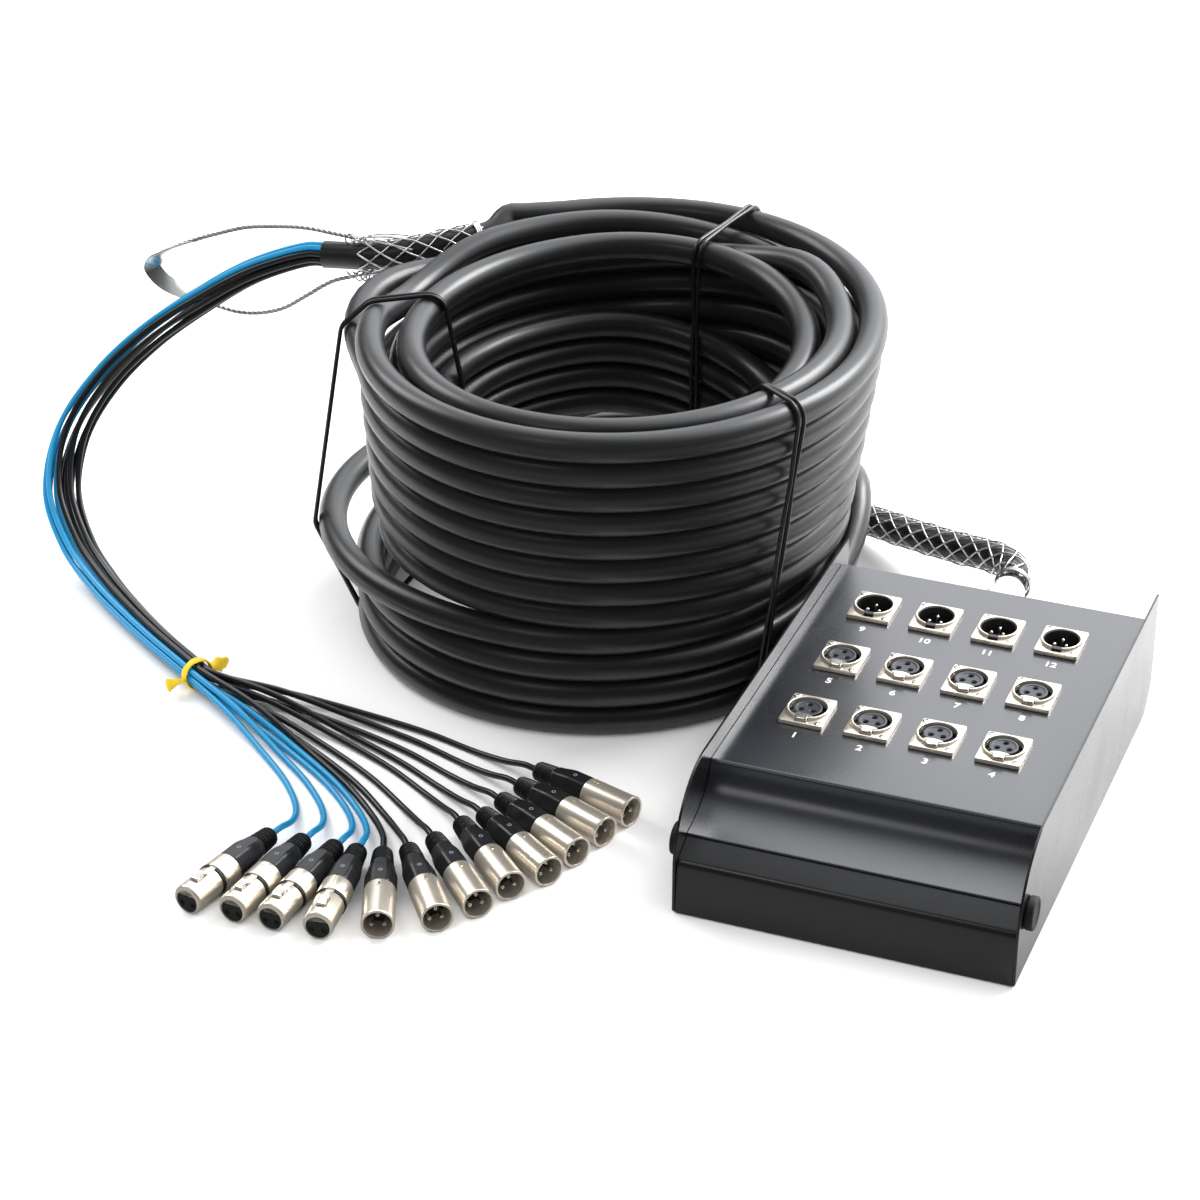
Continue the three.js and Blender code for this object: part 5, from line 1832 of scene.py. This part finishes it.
@dataclass(frozen=True)
class PullingEye:
    """A steel rope from the far grip's top to its underside, with a flat thimble in its bight."""

    strand: float = 0.78
    lay: float = 11.0
    strands: int = 3
    band_width: float = 11.5
    band: float = 1.2
    bight: tuple[float, float] = (0.36, 0.6)
    rings: int = 5
    ring_radius: float = 2.7
    ring_wire: float = 0.6
    ring_step: float = 3.2
    tether: float = 0.55
    tether_start: float = 10.3
    tether_bow: float = 1.8
    route: tuple[tuple[float, float, float], ...] = (
        (-450, 207.5, 203.8), (-467, 206, 205.5), (-485, 203, 207.5), (-505, 201, 206), (-525, 199, 203),
        (-544, 196, 197), (-562, 194, 190), (-577, 192, 183), (-588, 191, 176), (-592, 191, 169),
        (-588, 191, 162), (-579, 192, 155), (-563, 194, 149), (-549, 196, 145), (-534, 198, 142),
        (-518, 200, 143), (-501, 201, 149), (-486, 203, 159), (-468, 206, 171), (-450, 207.5, 177.6),
    )

    def rope(self, line: Array) -> Patch:
        """Makes the strands wound round the rope's middle line at a steady lay."""
        across = np.array([0.0, 1.0, 0.0])
        _, side, above = axes_along(line, across)
        along = lengths_along(line)
        made = []
        for number in range(self.strands):
            turn = number / self.strands * TURN + along / self.lay * TURN
            out = around(turn, side, above)
            made.append(tube(line + self.strand * 0.92 * out, self.strand, 8, hint=out))
        return joined(*made)

    def thimble(self, line: Array) -> Patch:
        """Makes the flat band outside the bight: a thin rounded section carried along the rope."""
        start, end = (round(len(line) * share) for share in self.bight)
        bight = line[start:end]
        across = np.array([0.75, 0.65, 0.0])
        _, side, above = axes_along(bight, across)
        half, thick = self.band_width / 2, self.band / 2
        section = rounded(oblong((-half, -thick), (half, thick)), 0.4, 3, closed=True)
        out = 2 * self.strand + 0.3
        outward = -side if np.dot(side[len(side) // 2], [0, -1, 0]) < 0 else side
        flat = section[None, :, :1] * above[:, None] + section[None, :, 1:] * outward[:, None]
        return surface((bight + outward * out)[:, None] + flat, caps=True)

    def knot(self, place: Array, seed: int) -> Patch:
        """Makes a knot of wire rings that lean different ways, from a fixed seed."""
        random = np.random.default_rng(seed)
        turn = circle(40)
        made = []
        for number in range(self.rings):
            axis = unit(random.normal(size=3) * [0.7, 0.7, 1.0])
            side = unit(np.cross(axis, [1.0, 0.3, 0.2]))
            above = np.cross(axis, side)
            radius = self.ring_radius + 0.8 * random.random()
            shift = np.array([-6.0 + self.ring_step * number, 0, 0]) + random.normal(size=3) * 0.5
            out = around(turn, side, above)
            centre = place + shift
            small = circle(7)[None, :, None]
            section = self.ring_wire * (np.cos(small) * out[:, None] + np.sin(small) * axis)
            made.append(surface((centre + radius * out)[:, None] + section, wrap_rows=True))
        return joined(*made)

    def tethers(self, place: Array, cable: Array, bearings: tuple[float, ...]) -> Patch:
        """Makes the wires that gather from the grip's end to a knot.

        Args:
            place: The knot.
            cable: The cable's middle line under the grip's end.
            bearings: Where on the grip each wire starts, in degrees from above.

        Returns:
            The wires.
        """
        _, side, above = axes_along(cable)
        made = []
        for bearing in bearings:
            turn = math.radians(bearing)
            out = math.sin(turn) * side[0] + math.cos(turn) * above[0]
            start = cable[0] + self.tether_start * out
            knee = (start * 0.5 + place * 0.5) + self.tether_bow * out
            line = smooth_line(np.array([start, knee, place]), 24)
            made.append(tube(line, self.tether, 7, hint=np.array([0.1, 1.0, 0.2])))
        return joined(*made)

    def build(self, cable: Array) -> None:
        """Makes the eye, its knots and the wires that hold it.

        Args:
            cable: The cable's middle line.
        """
        line = smooth_line(np.array(self.route, float), 420)
        upper, lower, grip_end = line[0], line[-1], cable[-20:]
        knots = joined(
            self.knot(upper + [2, 0, 0], 3), self.knot(lower + [2, 0, 0], 8),
            self.tethers(upper, grip_end, (-60, -20, 20, 60)),
            self.tethers(lower, grip_end, (120, 160, 200, 240)),
        )
        eye = ("pulling_eye",)
        add_piece(knots, "eye_knots", Finishes.mesh_wire, eye, smooth=60)
        thimble = add_piece(self.thimble(line), "eye_thimble", Finishes.thimble_steel, eye)
        rope = add_piece(self.rope(line), "eye_rope", Finishes.rope_wire, eye, smooth=60)


# Wire ties round the coil


@dataclass(frozen=True)
class CoilTie:
    """A doubled wire drawn taut round the winding at one bearing."""

    name: str
    bearing: float
    wire: float = 1.35
    apart: float = 1.75
    room: float = 0.35
    floor_gap: float = 0.1
    slice: float = 4.5
    crossings: int = 3

    def build(self, cable: Multicore) -> None:
        """Makes the tie's two strands.

        Seen along the cable, each turn is a disc. A taut wire lies on the hull of all discs: for
        every way round, it touches the disc that reaches furthest that way.

        Args:
            cable: The cable whose coil is tied.
        """
        angle = math.radians(self.bearing)
        out = np.array([math.cos(angle), math.sin(angle), 0.0])
        along = np.cross(UP, out)
        centre = np.array([cable.waist.x, cable.waist.y, 0.0])
        line = cable.centres(np.linspace(0.05, cable.turns, 9600))
        local = line - centre
        near = (np.abs(local @ along) < self.slice) & (local @ out > 0)
        discs = np.stack([local[near] @ out, local[near][:, 2]], -1)
        way = circle(720)
        ways = np.stack([np.cos(way), np.sin(way)], -1)
        hull = discs[np.argmax(discs @ ways.T, axis=0)] + (cable.radius + self.wire + self.room) * ways
        hull[:, 1] = np.maximum(hull[:, 1], self.wire + self.floor_gap)
        loop = np.vstack([hull, hull[:1]])
        even = evenly(centre + loop[:, :1] * out + loop[:, 1:] * UP, 260)[:-1]
        weave = np.abs(np.cos(np.linspace(0, self.crossings * TURN, len(even), endpoint=False)))
        turn = circle(12)[None, :, None]
        strands = []
        for side in (-1, 1):
            strand = even + along * (side * self.apart * (0.6 * weave + 0.55))[:, None]
            normal = unit(np.cross(along, unit(np.roll(strand, -1, 0) - np.roll(strand, 1, 0))))
            grid = strand[:, None] + self.wire * (np.cos(turn) * normal[:, None] + np.sin(turn) * along)
            strands.append(surface(grid, wrap_rows=True))
        add_piece(joined(*strands), self.name, Finishes.tie_jacket, smooth=60)


# Gland


@dataclass(frozen=True)
class Gland:
    """The pale nylon gland in the rear wall."""

    z: float = 48.0
    hex_radius: float = 15.5
    hex_length: float = 9.0
    dome_radius: float = 13.0
    dome_length: float = 18.0
    mouth: float = 10.2
    tail: float = 12.0
    seat: float = 0.3
    flute: float = 0.35
    flutes: int = 18

    @property
    def reach(self) -> float:
        """How far the gland stands out of the rear wall."""
        return self.seat + self.hex_length + self.dome_length + self.tail

    def hexagon(self) -> Patch:
        """Makes the hexagon with chamfered corners: the nearer of a round and the flat's distance."""
        angle = circle(120)
        wedge = TURN / 6
        away = np.abs((angle + wedge / 2) % wedge - wedge / 2)
        flat = self.hex_radius * math.cos(wedge / 2)
        rows = []
        profile = [(0.0, 14.6), (1.0, self.hex_radius), (self.hex_length - 1, self.hex_radius),
                   (self.hex_length, 14.4)]
        for height, round_radius in profile:
            rows.append(spun(np.minimum(flat / np.cos(away), round_radius), height, angle))
        return surface(np.stack(rows), caps=True)

    def dome(self) -> Patch:
        """Makes the domed nut: a fluted cylinder that closes in a quarter ellipse to the cable."""
        angle = circle(144)
        share = np.linspace(0, 1, 26)
        straight = np.linspace(0, 0.55, 10)
        z = np.concatenate([straight, 0.55 + 0.45 * np.sin(share[1:] * math.pi / 2)]) * self.dome_length
        narrowing = self.mouth + (self.dome_radius - self.mouth) * np.cos(share[1:] * math.pi / 2)
        radius = np.concatenate([np.full(10, self.dome_radius), narrowing])
        fade = 1 - eased(z / self.dome_length, 0.45, 0.7)
        flutes = self.flute * np.cos(angle * self.flutes)[None] * fade[:, None]
        return surface(spun(radius[:, None] + flutes, z[:, None], angle), caps=True)

    def sleeve(self) -> Patch:
        """Makes the slim sleeve through which the cable leaves."""
        lip, back = self.mouth - 0.9, self.tail - 0.8
        profile = [(0, 0), (self.mouth, 0), (self.mouth, self.tail), (lip, self.tail), (lip, back), (0, back)]
        return turned(rounded(profile, 0.4, 3), 64)

    def build(self) -> bpy.types.Object:
        """Makes the gland and gives it."""
        rear = node_box("top_cover")[1][1]
        hex_end = self.seat + self.hex_length
        whole = joined(
            self.hexagon().at(0, 0, self.seat), self.dome().at(0, 0, hex_end),
            self.sleeve().at(0, 0, hex_end + self.dome_length),
        )
        lean = np.array([[-1, 0, 0], [0, 0, 1], [0, 1, 0]], float)
        placed = whole.moved(lean, np.array([0, rear, self.z])).outward()
        return add_piece(placed, "gland_body", Finishes.gland_nylon, ("cable_gland",))


# Studio


@dataclass(frozen=True)
class Studio:
    """Floor, soft lights and the camera at the photograph's place."""

    eye: tuple[float, float, float] = (0.4263, -1.6180, 1.0783)
    tilt: float = 60.495
    turn: float = 21.194
    lens: float = 101.86
    sensor: float = 36.0
    aim: tuple[float, float, float] = (-0.15, 0.05, 0.08)
    reach: float = 12.0
    bright_way: tuple[float, float, float] = (0.25, 0.62, 0.5)

    def camera(self) -> None:
        """Makes the camera."""
        data = bpy.data.cameras.new("camera")
        data.lens, data.sensor_width, data.sensor_fit = self.lens, self.sensor, "HORIZONTAL"
        data.clip_start, data.clip_end = 0.05, 50.0
        camera = bpy.data.objects.new("camera", data)
        camera.location = self.eye
        camera.rotation_euler = Euler((math.radians(self.tilt), 0.0, math.radians(self.turn)))
        bpy.context.scene.collection.objects.link(camera)
        bpy.context.scene.camera = camera

    def lamp(self, name: str, place: tuple[float, float, float], size: float, watts: float) -> None:
        """Makes a square soft light that faces the object.

        Args:
            name: The light's name.
            place: Where it hangs, in metres.
            size: Its side in metres.
            watts: Its strength.
        """
        data = bpy.data.lights.new(name, "AREA")
        data.size, data.energy = size, watts
        lamp = bpy.data.objects.new(name, data)
        lamp.location = place
        aim = Vector(self.aim) - Vector(place)
        lamp.rotation_euler = aim.to_track_quat("-Z", "Y").to_euler()
        bpy.context.scene.collection.objects.link(lamp)

    def floor(self) -> None:
        """Makes the pale floor, with painted shade towards the front that only its reflections show."""
        mesh = bpy.data.meshes.new("floor")
        corners = [(*corner, 0) for corner in oblong((-self.reach,) * 2, (self.reach,) * 2)]
        mesh.from_pydata(corners, [], [(0, 1, 2, 3)])
        material = bpy.data.materials.new("floor")
        material.use_nodes = True
        tree = material.node_tree
        place = add_node(tree, "SeparateXYZ", {"Vector": add_node(tree, "TexCoord", {}).outputs["Object"]})
        # Painted reflection shade: seen in reflections, the floor darkens towards the front to stand in for a
        # dark studio there.
        shade = add_node(tree, "MapRange", {
            "Value": place.outputs["Y"], "From Min": 0.0, "From Max": -0.22, "To Min": 0.0, "To Max": 1.0,
        })
        path = add_node(tree, "LightPath", {})
        both = add_node(
            tree, "Math", {0: shade.outputs["Result"], 1: path.outputs["Is Glossy Ray"]}, operation="MULTIPLY"
        )
        mix = add_node(tree, "Mix", {
            "A": (0.95, 0.95, 0.95, 1), "B": (0.15, 0.15, 0.15, 1), "Factor": both.outputs["Value"],
        }, data_type="RGBA")
        feed(tree, tree.nodes["Principled BSDF"], {"Roughness": 0.9, "Base Color": mix.outputs["Result"]})
        mesh.materials.append(material)
        floor = bpy.data.objects.new("floor", mesh)
        bpy.context.scene.collection.objects.link(floor)

    def world(self) -> None:
        """Makes a white world that is dark in front and bright behind and above in reflections.

        In a reflection its strength is a smooth step of the way's product with a fixed way.
        """
        world = bpy.data.worlds.new("world")
        world.use_nodes = True
        bpy.context.scene.world = world
        tree = world.node_tree
        product = add_node(tree, "VectorMath", {
            0: add_node(tree, "TexCoord", {}).outputs["Generated"], 1: self.bright_way,
        }, operation="DOT_PRODUCT")
        mirrored = add_node(tree, "MapRange", {
            "Value": product.outputs["Value"], "From Min": 0.3, "From Max": 0.8,
            "To Min": 0.05, "To Max": 2.8,
        }, interpolation_type="SMOOTHSTEP")
        glossy = add_node(tree, "LightPath", {}).outputs["Is Glossy Ray"]
        strength = add_node(tree, "Mix", {"A": 1.2, "B": mirrored.outputs["Result"], "Factor": glossy})
        tint = add_node(
            tree, "Mix", {"A": (1, 1, 1, 1), "B": (0.96, 0.98, 1.02, 1), "Factor": glossy}, data_type="RGBA"
        )
        feed(tree, tree.nodes["Background"], {
            "Strength": strength.outputs["Result"], "Color": tint.outputs["Result"],
        })

    def build(self) -> None:
        """Makes the studio."""
        bpy.context.scene.view_settings.view_transform = "Standard"
        self.camera()
        self.world()
        self.floor()
        self.lamp("back", (0.9, 1.7, 1.8), 1.2, 75)
        self.lamp("left", (-2.0, 0.6, 1.6), 1.0, 22)
        self.lamp("front", (-0.57, -1.03, 1.55), 0.5, 1.5)


def main() -> None:
    """Makes the studio and the object, piece by piece."""
    Studio().build()
    cable = Multicore()
    line = cable.line()
    whole = float(lengths_along(line)[-1])
    gland = Gland().build()
    grips = [
        WireGrip("box_grip_wires", "box_wire_grip", 2.0, 200.0).build(line),
        WireGrip("far_grip_wires", "far_wire_grip", whole - 108.0, whole - 24.0, pitch=88.0).build(line),
    ]
    PullingEye().build(line)
    plugs = {}
    for gender, places in ((Gender.FEMALE, FEMALE_PLACES), (Gender.MALE, MALE_PLACES)):
        for number, place in enumerate(places, 1):
            plug = Plug(number, gender, place)
            plugs[plug.node] = plug.build()
    cable.build([gland, *grips])
    Tails().build(line, cable.radius, plugs)
    TwistTie().build()
    for tie in (CoilTie("left_tie", 199), CoilTie("back_tie", 79), CoilTie("front_tie", 327)):
        tie.build(cable)
    SteelBox().build()
    for number in range(1, SOCKETS + 1):
        PanelSocket(number, Gender.MALE if number > FEMALE_SOCKETS else Gender.FEMALE).build()


if __name__ == "__main__":
    logging.basicConfig(level=logging.INFO, format="%(name)s: %(message)s")
    main()
